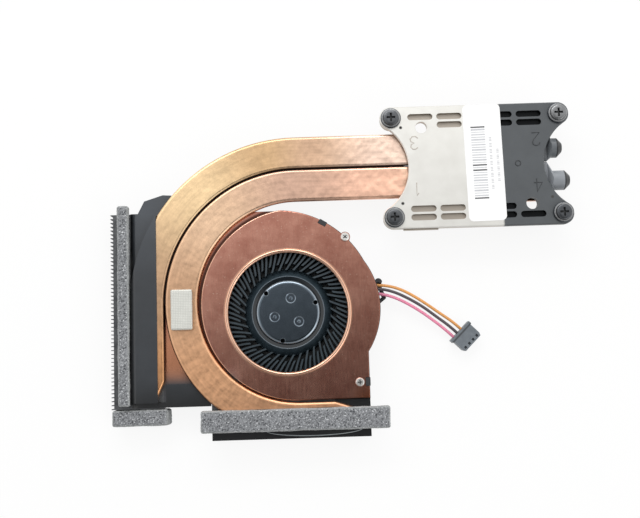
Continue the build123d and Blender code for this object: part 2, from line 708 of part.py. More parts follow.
left_fin_stack = fin_stack(
    Plane(origin=(HOUSING_LEFT, LEFT_STACK_Y, 0), x_dir=(0, 1, 0), z_dir=(0, 0, 1)),
    LEFT_STACK_L,
    LEFT_STACK_DEPTH,
)
left_fin_stack.part.label = "left_fin_stack"
export_step(left_fin_stack.part, "parts/left_fin_stack.step")

rear_fin_stack = fin_stack(
    Plane(origin=(HOUSING_RIGHT, HOUSING_REAR, 0), x_dir=(-1, 0, 0), z_dir=(0, 0, 1)),
    REAR_STACK_L,
    REAR_STACK_DEPTH,
)
rear_fin_stack.part.label = "rear_fin_stack"
export_step(rear_fin_stack.part, "parts/rear_fin_stack.step")


def outer_pipe_plan(grow):
    """Plan of the outer pipe's bend and down run, grown sideways."""
    with BuildSketch() as plan:
        with Locations((BEND_X, BEND_Y)):
            Circle(OUTER_BEND_R + PIPE_W / 2 + grow)
            Rectangle(
                2 * OUTER_BEND_R,
                2 * OUTER_BEND_R,
                align=(Align.MAX, Align.MIN),
                mode=Mode.INTERSECT,
            )
        with Locations((OUTER_DOWN_X, BEND_Y)):
            Rectangle(
                PIPE_W + 2 * grow,
                BEND_Y - OUTER_PIPE_TIP_Y + grow,
                align=(Align.CENTER, Align.MAX),
            )
    return plan.sketch


def inner_pipe_plan(grow):
    """Plan of the inner pipe's lower bend and crimped tail, grown sideways."""
    half = PIPE_W / 2 + grow
    with BuildSketch() as plan:
        with Locations((BEND_X, BEND_Y)):
            Circle(INNER_BEND_R + half)
            Circle(INNER_BEND_R - half, mode=Mode.SUBTRACT)
            Rectangle(
                2 * INNER_BEND_R,
                2 * INNER_BEND_R,
                align=(Align.MAX, Align.MAX),
                mode=Mode.INTERSECT,
            )
        with BuildLine():
            Polyline(
                (BEND_X, TAIL_Y - half),
                (INNER_PIPE_TAPER_X, TAIL_Y - half),
                (INNER_PIPE_TIP_X + grow, TAIL_Y - TIP_W / 2 - grow),
                (INNER_PIPE_TIP_X + grow, TAIL_Y + TIP_W / 2 + grow),
                (INNER_PIPE_TAPER_X, TAIL_Y + half),
                (BEND_X, TAIL_Y + half),
                close=True,
            )
        make_face()
    return plan.sketch


# Left duct film: black plastic film over the pipe's outer side, down its edge and over the stack's corner
FILM_LEFT_X = OUTER_DOWN_X - PIPE_W / 2 - FILM_GAP - FILM_T
FILM_EDGE_X = OUTER_DOWN_X + FILM_EDGE
FILM_FOOT_Y = LEFT_STACK_Y + FILM_FOOT
FLAP_POINTS = [(OUTER_DOWN_X + x, OUTER_RUN_Y + y) for x, y in FILM_FLAP]
FILM_TOP_Y = max(y for _, y in FLAP_POINTS)
FILM_CORNER_X = HOUSING_LEFT + FILM_CORNER_L
with BuildPart() as left_duct_film:
    with BuildSketch(Plane.XY.offset(PIPE_TOP)):
        add(outer_pipe_plan(FILM_GAP + FILM_T))
        with Locations((FILM_EDGE_X, FILM_FOOT_Y)):
            Rectangle(
                FILM_EDGE_X - FILM_LEFT_X,
                FILM_TOP_Y - FILM_FOOT_Y,
                align=(Align.MAX, Align.MIN),
                mode=Mode.INTERSECT,
            )
    extrude(amount=FILM_T)
    with BuildSketch(Plane.XY.offset(HOUSING_H)):
        add(outer_pipe_plan(FILM_GAP + FILM_T))
        add(outer_pipe_plan(FILM_GAP), mode=Mode.SUBTRACT)
        with Locations((FILM_EDGE_X, FILM_FOOT_Y)):
            Rectangle(
                FILM_EDGE_X - FILM_LEFT_X,
                FILM_TOP_Y - FILM_FOOT_Y,
                align=(Align.MAX, Align.MIN),
                mode=Mode.INTERSECT,
            )
    extrude(amount=PIPE_T)
    with BuildSketch(Plane.XY.offset(HOUSING_H)):
        with BuildLine():
            Polyline(
                (FILM_LEFT_X, BEND_Y),
                (FILM_LEFT_X, FLAP_POINTS[0][1]),
                *FLAP_POINTS,
                (BEND_X, BEND_Y),
                close=True,
            )
        make_face()
        add(outer_pipe_plan(FILM_GAP), mode=Mode.SUBTRACT)
    extrude(amount=FILM_T)
    with BuildSketch(Plane.XY.offset(HOUSING_H)):
        with Locations((FILM_LEFT_X, FILM_FOOT_Y)):
            Rectangle(
                FILM_CORNER_X - FILM_LEFT_X,
                OUTER_PIPE_TIP_Y - FILM_FOOT_Y,
                align=(Align.MIN, Align.MIN),
            )
        with Locations((FILM_EDGE_X, OUTER_PIPE_TIP_Y)):
            Rectangle(
                FILM_CORNER_X - FILM_EDGE_X,
                FILM_CORNER_Y - OUTER_PIPE_TIP_Y,
                align=(Align.MIN, Align.MIN),
            )
        add(outer_pipe_plan(FILM_GAP), mode=Mode.SUBTRACT)
        with Locations((BEND_X, BEND_Y)):
            Circle(INNER_BEND_R + PIPE_W / 2 + FILM_GAP, mode=Mode.SUBTRACT)
    extrude(amount=FILM_T)
left_duct_film.part.label = "left_duct_film"
export_step(left_duct_film.part, "parts/left_duct_film.step")

# Rear duct film: the same film over the inner pipe's tail and the rear stack
REAR_STACK_END_Y = HOUSING_REAR - REAR_STACK_DEPTH
REAR_FILM_Y = TAIL_Y + REAR_FILM_LAP
with BuildPart() as rear_duct_film:
    for level, height, outside, inside in (
        (PIPE_TOP, FILM_T, FILM_GAP + FILM_T, None),
        (HOUSING_H, PIPE_T, FILM_GAP + FILM_T, FILM_GAP),
    ):
        with BuildSketch(Plane.XY.offset(level)):
            add(inner_pipe_plan(outside))
            if inside is not None:
                add(inner_pipe_plan(inside), mode=Mode.SUBTRACT)
            with Locations((HOUSING_RIGHT, REAR_FILM_Y)):
                Rectangle(
                    REAR_STACK_L,
                    REAR_FILM_Y - REAR_STACK_END_Y,
                    align=(Align.MAX, Align.MAX),
                    mode=Mode.INTERSECT,
                )
        extrude(amount=height)
    with BuildSketch(Plane.XY.offset(HOUSING_H)):
        with Locations((HOUSING_RIGHT, REAR_FILM_Y)):
            Rectangle(
                REAR_STACK_L,
                REAR_FILM_Y - REAR_STACK_END_Y,
                align=(Align.MAX, Align.MAX),
            )
        with Locations((HOUSING_RIGHT, HOUSING_REAR)):
            Rectangle(
                HOUSING_RIGHT - INNER_PIPE_TAPER_X,
                HOUSING_REAR - REAR_FILM_Y,
                align=(Align.MAX, Align.MAX),
            )
        add(inner_pipe_plan(FILM_GAP), mode=Mode.SUBTRACT)
    extrude(amount=FILM_T)
rear_duct_film.part.label = "rear_duct_film"
export_step(rear_duct_film.part, "parts/rear_duct_film.step")


def soft_bar(corner, size, edge_r):
    """A bar of foam from its lowest corner, with its upright and upper edges eased."""
    with BuildPart() as bar:
        with Locations(corner):
            Box(*size, align=(Align.MIN, Align.MIN, Align.MIN))
        fillet(bar.edges().filter_by(Axis.Z) + bar.edges().group_by(Axis.Z)[-1], radius=edge_r)
    return bar


left_foam_strip = soft_bar(
    (FILM_LEFT_X - FILM_GAP - LEFT_FOAM_W, LEFT_FOAM_Y[0], HOUSING_H),
    (LEFT_FOAM_W, LEFT_FOAM_Y[1] - LEFT_FOAM_Y[0], LEFT_FOAM_H),
    FOAM_EDGE_R,
)
left_foam_strip.part.label = "left_foam_strip"
export_step(left_foam_strip.part, "parts/left_foam_strip.step")

left_end_foam = soft_bar(
    (HOUSING_LEFT - LEFT_STACK_DEPTH - END_FOAM_LAPS[0], LEFT_STACK_Y - END_FOAM_T, END_FOAM_Z[0]),
    (LEFT_STACK_DEPTH + sum(END_FOAM_LAPS), END_FOAM_T, END_FOAM_Z[1] - END_FOAM_Z[0]),
    FOAM_EDGE_R,
)
left_end_foam.part.label = "left_end_foam"
export_step(left_end_foam.part, "parts/left_end_foam.step")

rear_foam_strip = soft_bar(
    (
        HOUSING_RIGHT - REAR_STACK_L - REAR_FOAM_LAPS[0],
        TAIL_Y + REAR_FOAM_SHIFT - REAR_FOAM_W / 2,
        PIPE_TOP + FILM_T,
    ),
    (REAR_STACK_L + sum(REAR_FOAM_LAPS), REAR_FOAM_W, REAR_FOAM_H),
    FOAM_EDGE_R,
)
rear_foam_strip.part.label = "rear_foam_strip"
export_step(rear_foam_strip.part, "parts/rear_foam_strip.step")

GASKET_X = BEND_X - INNER_BEND_R + GASKET_SHIFT[0]
GASKET_Y = BEND_Y + GASKET_SHIFT[1]
fabric_gasket = soft_bar(
    (GASKET_X - GASKET_W / 2, GASKET_Y - GASKET_L / 2, PIPE_TOP),
    (GASKET_W, GASKET_L, GASKET_T),
    GASKET_EDGE_R,
)
fabric_gasket.part.label = "fabric_gasket"
export_step(fabric_gasket.part, "parts/fabric_gasket.step")

# Processor plate: a casting with a boss at each screw, round notches at both ends, blind slots and two holes
plate_top_plane = Plane(origin=(PLATE_X, PLATE_Y, PLATE_TOP))
SCREW_PLACES = [(sx * SCREW_HALF_X, sy * SCREW_HALF_Y) for sy in (1, -1) for sx in (-1, 1)]
HOLE_PLACES = [PLATE_HOLE_AT, (-PLATE_HOLE_AT[0], -PLATE_HOLE_AT[1])]
with BuildPart() as cpu_plate:
    with BuildSketch(plate_top_plane) as plate_plan:
        RectangleRounded(
            SCREW_SPACING_X + 2 * PLATE_MARGIN_X,
            SCREW_SPACING_Y + 2 * PLATE_MARGIN_Y,
            PLATE_BOSS_R,
        )
        with Locations((-NOTCH_X, 0), (NOTCH_X, 0)):
            Circle(NOTCH_R, mode=Mode.SUBTRACT)
        ends = plate_plan.vertices().group_by(Axis.X)
        notch_corners = [v for end in (ends[0], ends[-1]) for v in sorted(end, key=lambda v: abs(v.Y))[:2]]
        fillet(notch_corners, radius=NOTCH_CORNER_R)
    extrude(amount=-PLATE_T)
    chamfer(cpu_plate.edges().group_by(Axis.Z)[-1], length=PLATE_EDGE_R)
    # Undercut round the notches, which clears the pipes where they swell to round
    with BuildSketch(plate_top_plane.offset(-PLATE_T)):
        with Locations((-NOTCH_X, 0), (NOTCH_X, 0)):
            Circle(NOTCH_R + UNDERCUT_W)
    extrude(amount=UNDERCUT_H, mode=Mode.SUBTRACT)
    with BuildSketch(plate_top_plane.offset(-PLATE_T - PLATE_BOSS_DROP)):
        with Locations(*SCREW_PLACES):
            Circle(PLATE_BOSS_R)
    extrude(amount=PLATE_BOSS_DROP + UNDERCUT_H)
    with BuildSketch(plate_top_plane.offset(-PLATE_T)):
        with Locations((LEDGE_X, -SCREW_HALF_Y - PLATE_MARGIN_Y)):
            Rectangle(LEDGE_L, 2 * LEDGE_W)
    extrude(amount=LEDGE_T)
    with BuildSketch(plate_top_plane):
        for column in SLOT_COLUMNS:
            for row in SLOT_ROWS:
                if all(hypot(column - hx, row - hy) > SLOT_W for hx, hy in HOLE_PLACES):
                    with Locations((column, row)):
                        SlotOverall(SLOT_L, SLOT_W)
    extrude(amount=-SLOT_DEPTH, mode=Mode.SUBTRACT)
    with BuildSketch(plate_top_plane):
        with Locations(*HOLE_PLACES):
            Circle(PLATE_HOLE_R)
        with Locations(*SCREW_PLACES):
            Circle(SCREW_R + SCREW_CLEARANCE)
    extrude(amount=-PLATE_T - PLATE_BOSS_DROP, mode=Mode.SUBTRACT)
cpu_plate.part.label = "cpu_plate"
export_step(cpu_plate.part, "parts/cpu_plate.step")

# Contact block: the copper slab under both pipes that meets the processor
with BuildPart() as contact_block:
    with Locations((PLATE_X, PLATE_Y, HOUSING_H)):
        Box(BLOCK_L, BLOCK_W, BLOCK_T, align=(Align.CENTER, Align.CENTER, Align.MAX))
    chamfer(contact_block.edges().group_by(Axis.Z)[0], length=PLATE_EDGE_R)
contact_block.part.label = "contact_block"
export_step(contact_block.part, "parts/contact_block.step")

# Captive screws: a thinner neck through the plate, and a retaining clip on it below the plate
HEAD_Z = PLATE_TOP + SCREW_FLOAT
CLIP_TOP = PIPE_TOP - PLATE_BOSS_DROP - CLIP_GAP
THREAD_TOP = CLIP_TOP - CLIP_T - THREAD_GAP
for number, (screw_x, screw_y) in enumerate(SCREW_PLACES, start=1):
    place = (PLATE_X + screw_x, PLATE_Y + screw_y)
    with BuildPart() as captive_screw:
        with BuildSketch(Plane(origin=(*place, HEAD_Z))):
            Circle(SCREW_FLANGE_R)
        extrude(amount=SCREW_FLANGE_T)
        fillet(captive_screw.edges().group_by(Axis.Z)[-1], radius=SCREW_FLANGE_EDGE_R)
        with BuildSketch(Plane(origin=(*place, HEAD_Z + SCREW_FLANGE_T))):
            Circle(SCREW_HEAD_R)
        extrude(amount=SCREW_HEAD_H)
        fillet(captive_screw.edges().group_by(Axis.Z)[-1], radius=SCREW_HEAD_EDGE_R)
        with BuildSketch(Plane(origin=(*place, HEAD_Z))):
            Circle(SCREW_NECK_R)
        extrude(amount=THREAD_TOP - HEAD_Z)
        with BuildSketch(Plane(origin=(*place, THREAD_TOP))):
            Circle(SCREW_R)
        extrude(amount=SCREW_TIP_Z - THREAD_TOP)
        chamfer(captive_screw.edges().group_by(Axis.Z)[0], length=SCREW_TIP_CHAMFER)
        with BuildSketch(Plane(origin=(*place, HEAD_Z + SCREW_FLANGE_T + SCREW_HEAD_H))):
            Rectangle(CROSS_L, CROSS_W)
            Rectangle(CROSS_W, CROSS_L)
        extrude(amount=-CROSS_DEPTH, mode=Mode.SUBTRACT)
    captive_screw.part.label = f"captive_screw_{number}"
    export_step(captive_screw.part, f"parts/captive_screw_{number}.step")
    with BuildPart() as screw_clip:
        with BuildSketch(Plane(origin=(*place, CLIP_TOP))):
            Circle(CLIP_R)
            Circle(SCREW_NECK_R, mode=Mode.SUBTRACT)
        extrude(amount=-CLIP_T)
    screw_clip.part.label = f"screw_clip_{number}"
    export_step(screw_clip.part, f"parts/screw_clip_{number}.step")

# Label: paper stuck across the plate, a little askew
with BuildPart() as label:
    label_at = (PLATE_X + LABEL_SHIFT[0], PLATE_Y + LABEL_SHIFT[1], PLATE_TOP)
    with BuildSketch(Plane(origin=label_at).rotated((0, 0, LABEL_TURN))):
        RectangleRounded(LABEL_W, LABEL_L, LABEL_CORNER_R)
    extrude(amount=LABEL_T)
label.part.label = "label"
export_step(label.part, "parts/label.step")

# Connector: a four-way crimp housing lying on the table, three ways filled
connector_plane = Plane(origin=(*CONNECTOR_AT, 0)).rotated((0, 0, CONNECTOR_TURN))
CONTACT_Z = (CONNECTOR_H - CAVITY + CONTACT_W) / 2
WAY_X = [(way - (CONNECTOR_WAYS - 1) / 2) * CONNECTOR_PITCH for way in range(CONNECTOR_WAYS)]
with BuildPart(connector_plane) as cable_connector:
    with BuildSketch(connector_plane):
        with BuildLine():
            Polyline(
                (-CONNECTOR_FLANGE_W / 2, 0),
                (-CONNECTOR_FLANGE_W / 2, -CONNECTOR_FLANGE_T),
                (-CONNECTOR_W / 2, -CONNECTOR_FLANGE_T),
                (-CONNECTOR_W / 2, -CONNECTOR_L + CONNECTOR_NOSE),
                (-CONNECTOR_W / 2 + CONNECTOR_NOSE / 2, -CONNECTOR_L),
                (CONNECTOR_W / 2 - CONNECTOR_NOSE / 2, -CONNECTOR_L),
                (CONNECTOR_W / 2, -CONNECTOR_L + CONNECTOR_NOSE),
                (CONNECTOR_W / 2, -CONNECTOR_FLANGE_T),
                (CONNECTOR_FLANGE_W / 2, -CONNECTOR_FLANGE_T),
                (CONNECTOR_FLANGE_W / 2, 0),
                close=True,
            )
        make_face()
    extrude(amount=CONNECTOR_H)
    with Locations(*[(x, 0, CONNECTOR_H / 2) for x in WAY_X]):
        Box(
            CAVITY,
            CONNECTOR_L,
            CAVITY,
            align=(Align.CENTER, Align.MAX, Align.CENTER),
            mode=Mode.SUBTRACT,
        )
    with Locations(*[(x, -CONNECTOR_L + CONNECTOR_NOSE, CONNECTOR_H) for x in WAY_X]):
        Box(
            WINDOW,
            WINDOW,
            CONNECTOR_H - CAVITY,
            mode=Mode.SUBTRACT,
        )
cable_connector.part.label = "cable_connector"
export_step(cable_connector.part, "parts/cable_connector.step")

# Crimp contacts: one in each filled way, alike
with BuildPart(connector_plane) as crimp_contacts:
    with Locations(*[(x, 0, CONTACT_Z) for x in WAY_X[:-1]]):
        Box(CONTACT_W, CONTACT_L, CONTACT_W, align=(Align.CENTER, Align.MAX, Align.CENTER))
crimp_contacts.part.label = "crimp_contacts"
export_step(crimp_contacts.part, "parts/crimp_contacts.step")


def way_point(way, behind):
    """A point on the line of a way, at a distance behind the connector's back face."""
    return tuple(connector_plane.from_local_coords(Vector(WAY_X[way], behind, CONTACT_Z)))


# Wires: from the board's tail, out through the cable slot and over the hook's arm, down to the connector
WIRE_ROUTES = {
    "wire_pink": [
        (29.0, 6.3, 2.2),
        (32.8, 6.3, 3.7),
        (39.6, 4.4, 4.4),
        (47.4, -0.1, 4.0),
        (53.4, -4.6, 3.2),
        way_point(0, WIRE_LEAD),
        way_point(0, 0),
    ],
    "wire_black": [
        (29.0, 7.8, 2.2),
        (33.0, 7.9, 3.8),
        (37.6, 7.0, 4.4),
        (42.6, 4.8, 4.5),
        (48.9, 1.1, 4.1),
        (54.6, -3.3, 3.2),
        way_point(1, WIRE_LEAD),
        way_point(1, 0),
    ],
    "wire_orange": [
        (29.0, 9.3, 2.2),
        (33.0, 9.3, 3.9),
        (38.6, 8.4, 4.6),
        (43.6, 6.3, 4.6),
        (49.9, 2.3, 4.2),
        (55.8, -2.0, 3.2),
        way_point(2, WIRE_LEAD),
        way_point(2, 0),
    ],
}
for wire_name, route in WIRE_ROUTES.items():
    points = [Vector(*point) for point in route]
    runs = [end - start for start, end in zip(points, points[1:])]
    radii = []
    for before, after in zip(runs, runs[1:]):
        turn = radians(before.get_angle(after))
        radii.append(WIRE_ARC_SHARE * min(before.length, after.length) / tan(turn / 2))
    with BuildPart() as wire:
        with BuildLine():
            path = FilletPolyline(*points, radius=radii)
        with BuildSketch(Plane(origin=points[0], z_dir=runs[0])):
            Circle(WIRE_D / 2)
        sweep()
    wire.part.label = wire_name
    export_step(wire.part, f"parts/{wire_name}.step")
    section = pi * (WIRE_D / 2) ** 2
    print(
        wire_name,
        f"length {path.length:.2f} mm, volume over section {wire.part.volume / section:.2f} mm,",
        "radii",
        [round(radius, 1) for radius in radii],
    )
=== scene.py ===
import functools
import math

import bmesh
import bpy
from mathutils import Matrix, Vector, noise


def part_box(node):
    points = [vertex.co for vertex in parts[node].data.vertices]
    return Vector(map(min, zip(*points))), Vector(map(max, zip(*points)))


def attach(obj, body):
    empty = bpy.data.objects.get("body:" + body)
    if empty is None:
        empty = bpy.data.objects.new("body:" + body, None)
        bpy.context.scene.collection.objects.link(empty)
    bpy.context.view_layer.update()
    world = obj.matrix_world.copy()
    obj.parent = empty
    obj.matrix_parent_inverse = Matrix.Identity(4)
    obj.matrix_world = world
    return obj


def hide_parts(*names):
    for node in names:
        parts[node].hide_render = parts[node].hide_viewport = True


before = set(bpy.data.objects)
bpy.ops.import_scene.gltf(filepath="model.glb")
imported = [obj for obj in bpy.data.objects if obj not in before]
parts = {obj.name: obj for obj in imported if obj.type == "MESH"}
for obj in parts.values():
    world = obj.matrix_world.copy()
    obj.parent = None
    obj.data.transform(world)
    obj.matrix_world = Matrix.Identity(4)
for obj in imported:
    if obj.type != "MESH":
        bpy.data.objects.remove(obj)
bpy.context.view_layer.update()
MM = 0.001

# Camera: the view is almost straight down, from a third of a metre above the fan, with the object's
# length a little askew in the picture.
scene = bpy.context.scene
camera_at = Vector((12.112, -14.845, 331.102)) * MM
camera_elevation = math.radians(84)
camera_roll = math.radians(1.8)
camera_back = Vector((0, -math.cos(camera_elevation), math.sin(camera_elevation)))
level_right = Vector((1, 0, 0))
level_up = camera_back.cross(level_right)
camera_right = math.cos(camera_roll) * level_right - math.sin(camera_roll) * level_up
camera_up = math.sin(camera_roll) * level_right + math.cos(camera_roll) * level_up
camera = bpy.data.objects.new("camera", bpy.data.cameras.new("camera"))
camera.data.lens = 50
camera.data.sensor_width = 36
camera.data.clip_start = 10 * MM
camera_turn = Matrix((camera_right, camera_up, camera_back)).transposed().to_4x4()
camera.matrix_world = Matrix.Translation(camera_at) @ camera_turn
scene.collection.objects.link(camera)
scene.camera = camera
scene.view_settings.view_transform = "Standard"


# Table: a large sheet of matt white card under the object. The camera and the metal see it nearly white,
# while it keeps a faint shadow.
def linear(code):
    """A hex sRGB colour as linear RGBA."""
    shares = [int(code[at : at + 2], 16) / 255 for at in (1, 3, 5)]
    return (*[s / 12.92 if s <= 0.04045 else ((s + 0.055) / 1.055) ** 2.4 for s in shares], 1.0)


def feed(node, inputs):
    """Sets a node's inputs: a hex colour is made linear, and a node or one of its outputs is linked.

    A node stands for the first of its outputs that is in use."""
    for name, value in inputs.items():
        if isinstance(value, str):
            value = linear(value)
        if isinstance(value, bpy.types.Node):
            value = next(socket for socket in value.outputs if socket.enabled)
        if isinstance(value, bpy.types.NodeSocket):
            node.id_data.links.new(value, node.inputs[name])
        else:
            node.inputs[name].default_value = value


def add_node(owner, kind, inputs=None, **settings):
    """Adds a node to a material or a world, with its settings and inputs. A mix is one of colours."""
    node = owner.node_tree.nodes.new("ShaderNode" + kind)
    if kind == "Mix":
        node.data_type = "RGBA"
    for name, value in settings.items():
        setattr(node, name, value)
    feed(node, inputs or {})
    return node


def new_material(name):
    """A new material: it, its main shader, what adds nodes to it, and the place of each point in metres."""
    material = bpy.data.materials.new(name)
    material.use_nodes = True
    add = functools.partial(add_node, material)
    return material, material.node_tree.nodes["Principled BSDF"], add, add("TexCoord").outputs["Object"]


TABLE_HALF = 2000.0
TABLE_DROP = 0.05
TABLE_GLOW = 0.88
table_mesh = bpy.data.meshes.new("table")
corners = [
    (x * TABLE_HALF * MM, y * TABLE_HALF * MM, -TABLE_DROP * MM)
    for x, y in ((-1, -1), (1, -1), (1, 1), (-1, 1))
]
table_mesh.from_pydata(corners, [], [(0, 1, 2, 3)])
table = bpy.data.objects.new("table", table_mesh)
scene.collection.objects.link(table)
card, shader, add = new_material("white_card")[:3]
feed(shader, {"Base Color": "#F4F4F3", "Roughness": 0.9})
rays = add("LightPath")
seen = add("Math", {0: rays.outputs["Is Camera Ray"], 1: rays.outputs["Is Glossy Ray"]}, operation="ADD")
seen = add("Math", {0: seen, 1: rays.outputs["Is Transmission Ray"]}, operation="ADD")
share = add("Math", {0: seen, 1: TABLE_GLOW}, operation="MULTIPLY", use_clamp=True)
glow = add("Emission", {"Color": "#FFFFFF", "Strength": 1.0})
both = add("MixShader", {0: share, 1: shader, 2: glow})
feed(card.node_tree.nodes["Material Output"], {"Surface": both})
table_mesh.materials.append(card)

# Light: an even white tent with a dark opening above the front, where the camera looks in. Flat metal
# darkens towards the front, while every rolled edge draws a bright line. The tent's front flap hangs in
# shade, and a long lamp behind lights the hub's rim.
TENT_LEVEL = 1.08
OPENING_LEVEL = 0.08
OPENING_TOWARD = Vector((0.05, -0.25, 0.963)).normalized()
OPENING_INNER = math.radians(14)
OPENING_OUTER = math.radians(27)
FLAP_LEVEL = 0.4
FLAP_TOWARD = Vector((-0.35, -0.85, 0.4)).normalized()
FLAP_INNER = math.radians(25)
FLAP_OUTER = math.radians(58)
tent = bpy.data.worlds.new("white_tent")
tent.use_nodes = True
scene.world = tent
toward = add_node(tent, "TexCoord").outputs["Generated"]
off_opening = add_node(tent, "VectorMath", {0: toward, 1: OPENING_TOWARD}, operation="DOT_PRODUCT")
level = add_node(
    tent,
    "MapRange",
    {
        "Value": off_opening,
        "From Min": math.cos(OPENING_OUTER),
        "From Max": math.cos(OPENING_INNER),
        "To Min": TENT_LEVEL,
        "To Max": OPENING_LEVEL,
    },
    interpolation_type="SMOOTHSTEP",
)
off_flap = add_node(tent, "VectorMath", {0: toward, 1: FLAP_TOWARD}, operation="DOT_PRODUCT")
shaded = add_node(
    tent,
    "MapRange",
    {
        "Value": off_flap,
        "From Min": math.cos(FLAP_OUTER),
        "From Max": math.cos(FLAP_INNER),
        "To Min": 1.0,
        "To Max": FLAP_LEVEL,
    },
    interpolation_type="SMOOTHSTEP",
)
level = add_node(tent, "Math", {0: level, 1: shaded}, operation="MULTIPLY")
feed(tent.node_tree.nodes["Background"], {"Color": "#FFFFFF", "Strength": level})
LAMPS_AIM = Vector((0.02, 0.01, 0))
# Each lamp's place, width and depth in metres, and its power in watts
LAMPS = {
    "back_lamp": ((-0.06, 0.5, 0.46), 0.6, 0.2, 1.7),
    "front_right_lamp": ((0.42, -0.34, 0.40), 0.35, 0.35, 0.4),
}
for name, (place, width, depth, watts) in LAMPS.items():
    lamp = bpy.data.objects.new(name, bpy.data.lights.new(name, "AREA"))
    lamp.data.shape = "RECTANGLE"
    lamp.data.size = width
    lamp.data.size_y = depth
    lamp.data.energy = watts
    lamp.location = place
    lamp.rotation_mode = "QUATERNION"
    lamp.rotation_quaternion = (LAMPS_AIM - Vector(place)).to_track_quat("-Z", "Y")
    scene.collection.objects.link(lamp)


# Wires: three stranded leads in thin extruded insulation, from the motor board's tail out through the
# slot in the base, over the hook's arm and down into the connector that lies on the table.
def round_bar(name, kind, bar_r, route, roundness):
    """A bar of round section on a curve of some kind, along a route of points in millimetres."""
    curve = bpy.data.curves.new(name, "CURVE")
    curve.dimensions = "3D"
    curve.bevel_depth = bar_r * MM
    curve.bevel_resolution = roundness
    curve.use_fill_caps = True
    spline = curve.splines.new(kind)
    spline.points.add(len(route) - 1)
    for point, place in zip(spline.points, route):
        point.co = (*[length * MM for length in place], 1)
    bar = bpy.data.objects.new(name, curve)
    scene.collection.objects.link(bar)
    return bar


WIRE_D = 1.1
WIRE_MARK = 2.5
WIRE_DEEPER = 0.72
# Each wire's slot, its colour, and the points of its route in millimetres
WIRES = {
    "wire_pink": (
        "pink_wire",
        "#FC96B6",
        [
            (29.0, 6.3, 2.2), (32.8, 6.3, 3.7), (39.6, 4.4, 4.4), (47.4, -0.1, 4.0), (53.4, -4.6, 3.2),
            (57.833, -8.126, 2.0), (60.379, -10.671, 2.0),
        ],
    ),
    "wire_black": (
        "black_wire",
        "#5A5258",
        [
            (29.0, 7.8, 2.2), (33.0, 7.9, 3.8), (37.6, 7.0, 4.4), (42.6, 4.8, 4.5), (48.9, 1.1, 4.1),
            (54.6, -3.3, 3.2), (59.247, -6.712, 2.0), (61.793, -9.257, 2.0),
        ],
    ),
    "wire_orange": (
        "orange_wire",
        "#F4AC62",
        [
            (29.0, 9.3, 2.2), (33.0, 9.3, 3.9), (38.6, 8.4, 4.6), (43.6, 6.3, 4.6), (49.9, 2.3, 4.2),
            (55.8, -2.0, 3.2), (60.662, -5.297, 2.0), (63.207, -7.843, 2.0),
        ],
    ),
}
for name, (slot, code, route) in WIRES.items():
    wire = round_bar(name + "_lead", "NURBS", WIRE_D / 2, route, roundness=5)
    wire.data.resolution_u = 16
    wire.data.splines[0].order_u = 3
    wire.data.splines[0].use_endpoint_u = True
    # PVC insulation, extruded: smooth and half glossy, its colour a little uneven along the lead
    insulation, shader, add, place = new_material("pvc_insulation_" + name.removeprefix("wire_"))
    marks = add("TexNoise", {"Vector": place, "Scale": 1 / (WIRE_MARK * MM), "Detail": 3})
    deeper = [channel * WIRE_DEEPER for channel in linear(code)[:3]] + [1]
    colour = add("Mix", {0: marks, 6: deeper, 7: code})
    feed(shader, {"Base Color": colour, "Roughness": 0.38, "IOR": 1.53})
    wire.data.materials.append(insulation)
    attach(wire, "frame")
    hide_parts(name)


# Connector: a four-way housing moulded in grey-black nylon. Tinned contacts are crimped onto the three
# wires and pushed into it, and one way stays empty.
def finish(material, *names):
    """Gives CAD nodes a material."""
    for name in names:
        parts[name].data.materials.clear()
        parts[name].data.materials.append(material)


def mottled(add, place, size, deep, pale, detail):
    """A surface's colour, cloudy between two hex colours in patches of a size in millimetres."""
    cloud = add("TexNoise", {"Vector": place, "Scale": 1 / (size * MM), "Detail": detail})
    return add("Mix", {0: cloud, 6: deep, 7: pale})


CONNECTOR_BACK = (62.5, -8.55)
CONNECTOR_TURN = math.radians(45)
FLANGE_STEP = 1.05
FLANGE_SHADE_W = 0.3
FLANGE_BLUR = 0.15
NYLON_CLOUD = 1.6
NYLON_GRAIN = 0.3
# Moulded nylon: half matt and a little cloudy, with a fine grain
nylon, shader, add, place = new_material("nylon_moulded_grey")
colour = mottled(add, place, NYLON_CLOUD, "#595F65", "#787F85", detail=5)
# Painted shade lies in a dark line along the flange's step
ahead = (math.sin(CONNECTOR_TURN), -math.cos(CONNECTOR_TURN), 0)
step_at = (CONNECTOR_BACK[0] * ahead[0] + CONNECTOR_BACK[1] * ahead[1] + FLANGE_STEP) * MM
along = add("VectorMath", {0: place, 1: ahead}, operation="DOT_PRODUCT")
off_step = add("Math", {0: along, 1: step_at}, operation="SUBTRACT")
off_step = add("Math", {0: off_step}, operation="ABSOLUTE")
step_shade = add(
    "MapRange",
    {
        "Value": off_step,
        "From Min": (FLANGE_SHADE_W + FLANGE_BLUR) * MM,
        "From Max": (FLANGE_SHADE_W - FLANGE_BLUR) * MM,
        "To Max": 0.85,
    },
)
colour = add("Mix", {0: step_shade, 6: colour, 7: "#303336"})
grain = add("TexNoise", {"Vector": place, "Scale": 1 / (NYLON_GRAIN * MM), "Detail": 2})
bump = add("Bump", {"Height": grain, "Strength": 0.3, "Distance": 0.04 * MM})
feed(shader, {"Base Color": colour, "Roughness": 0.45, "IOR": 1.53, "Normal": bump})
finish(nylon, "cable_connector")

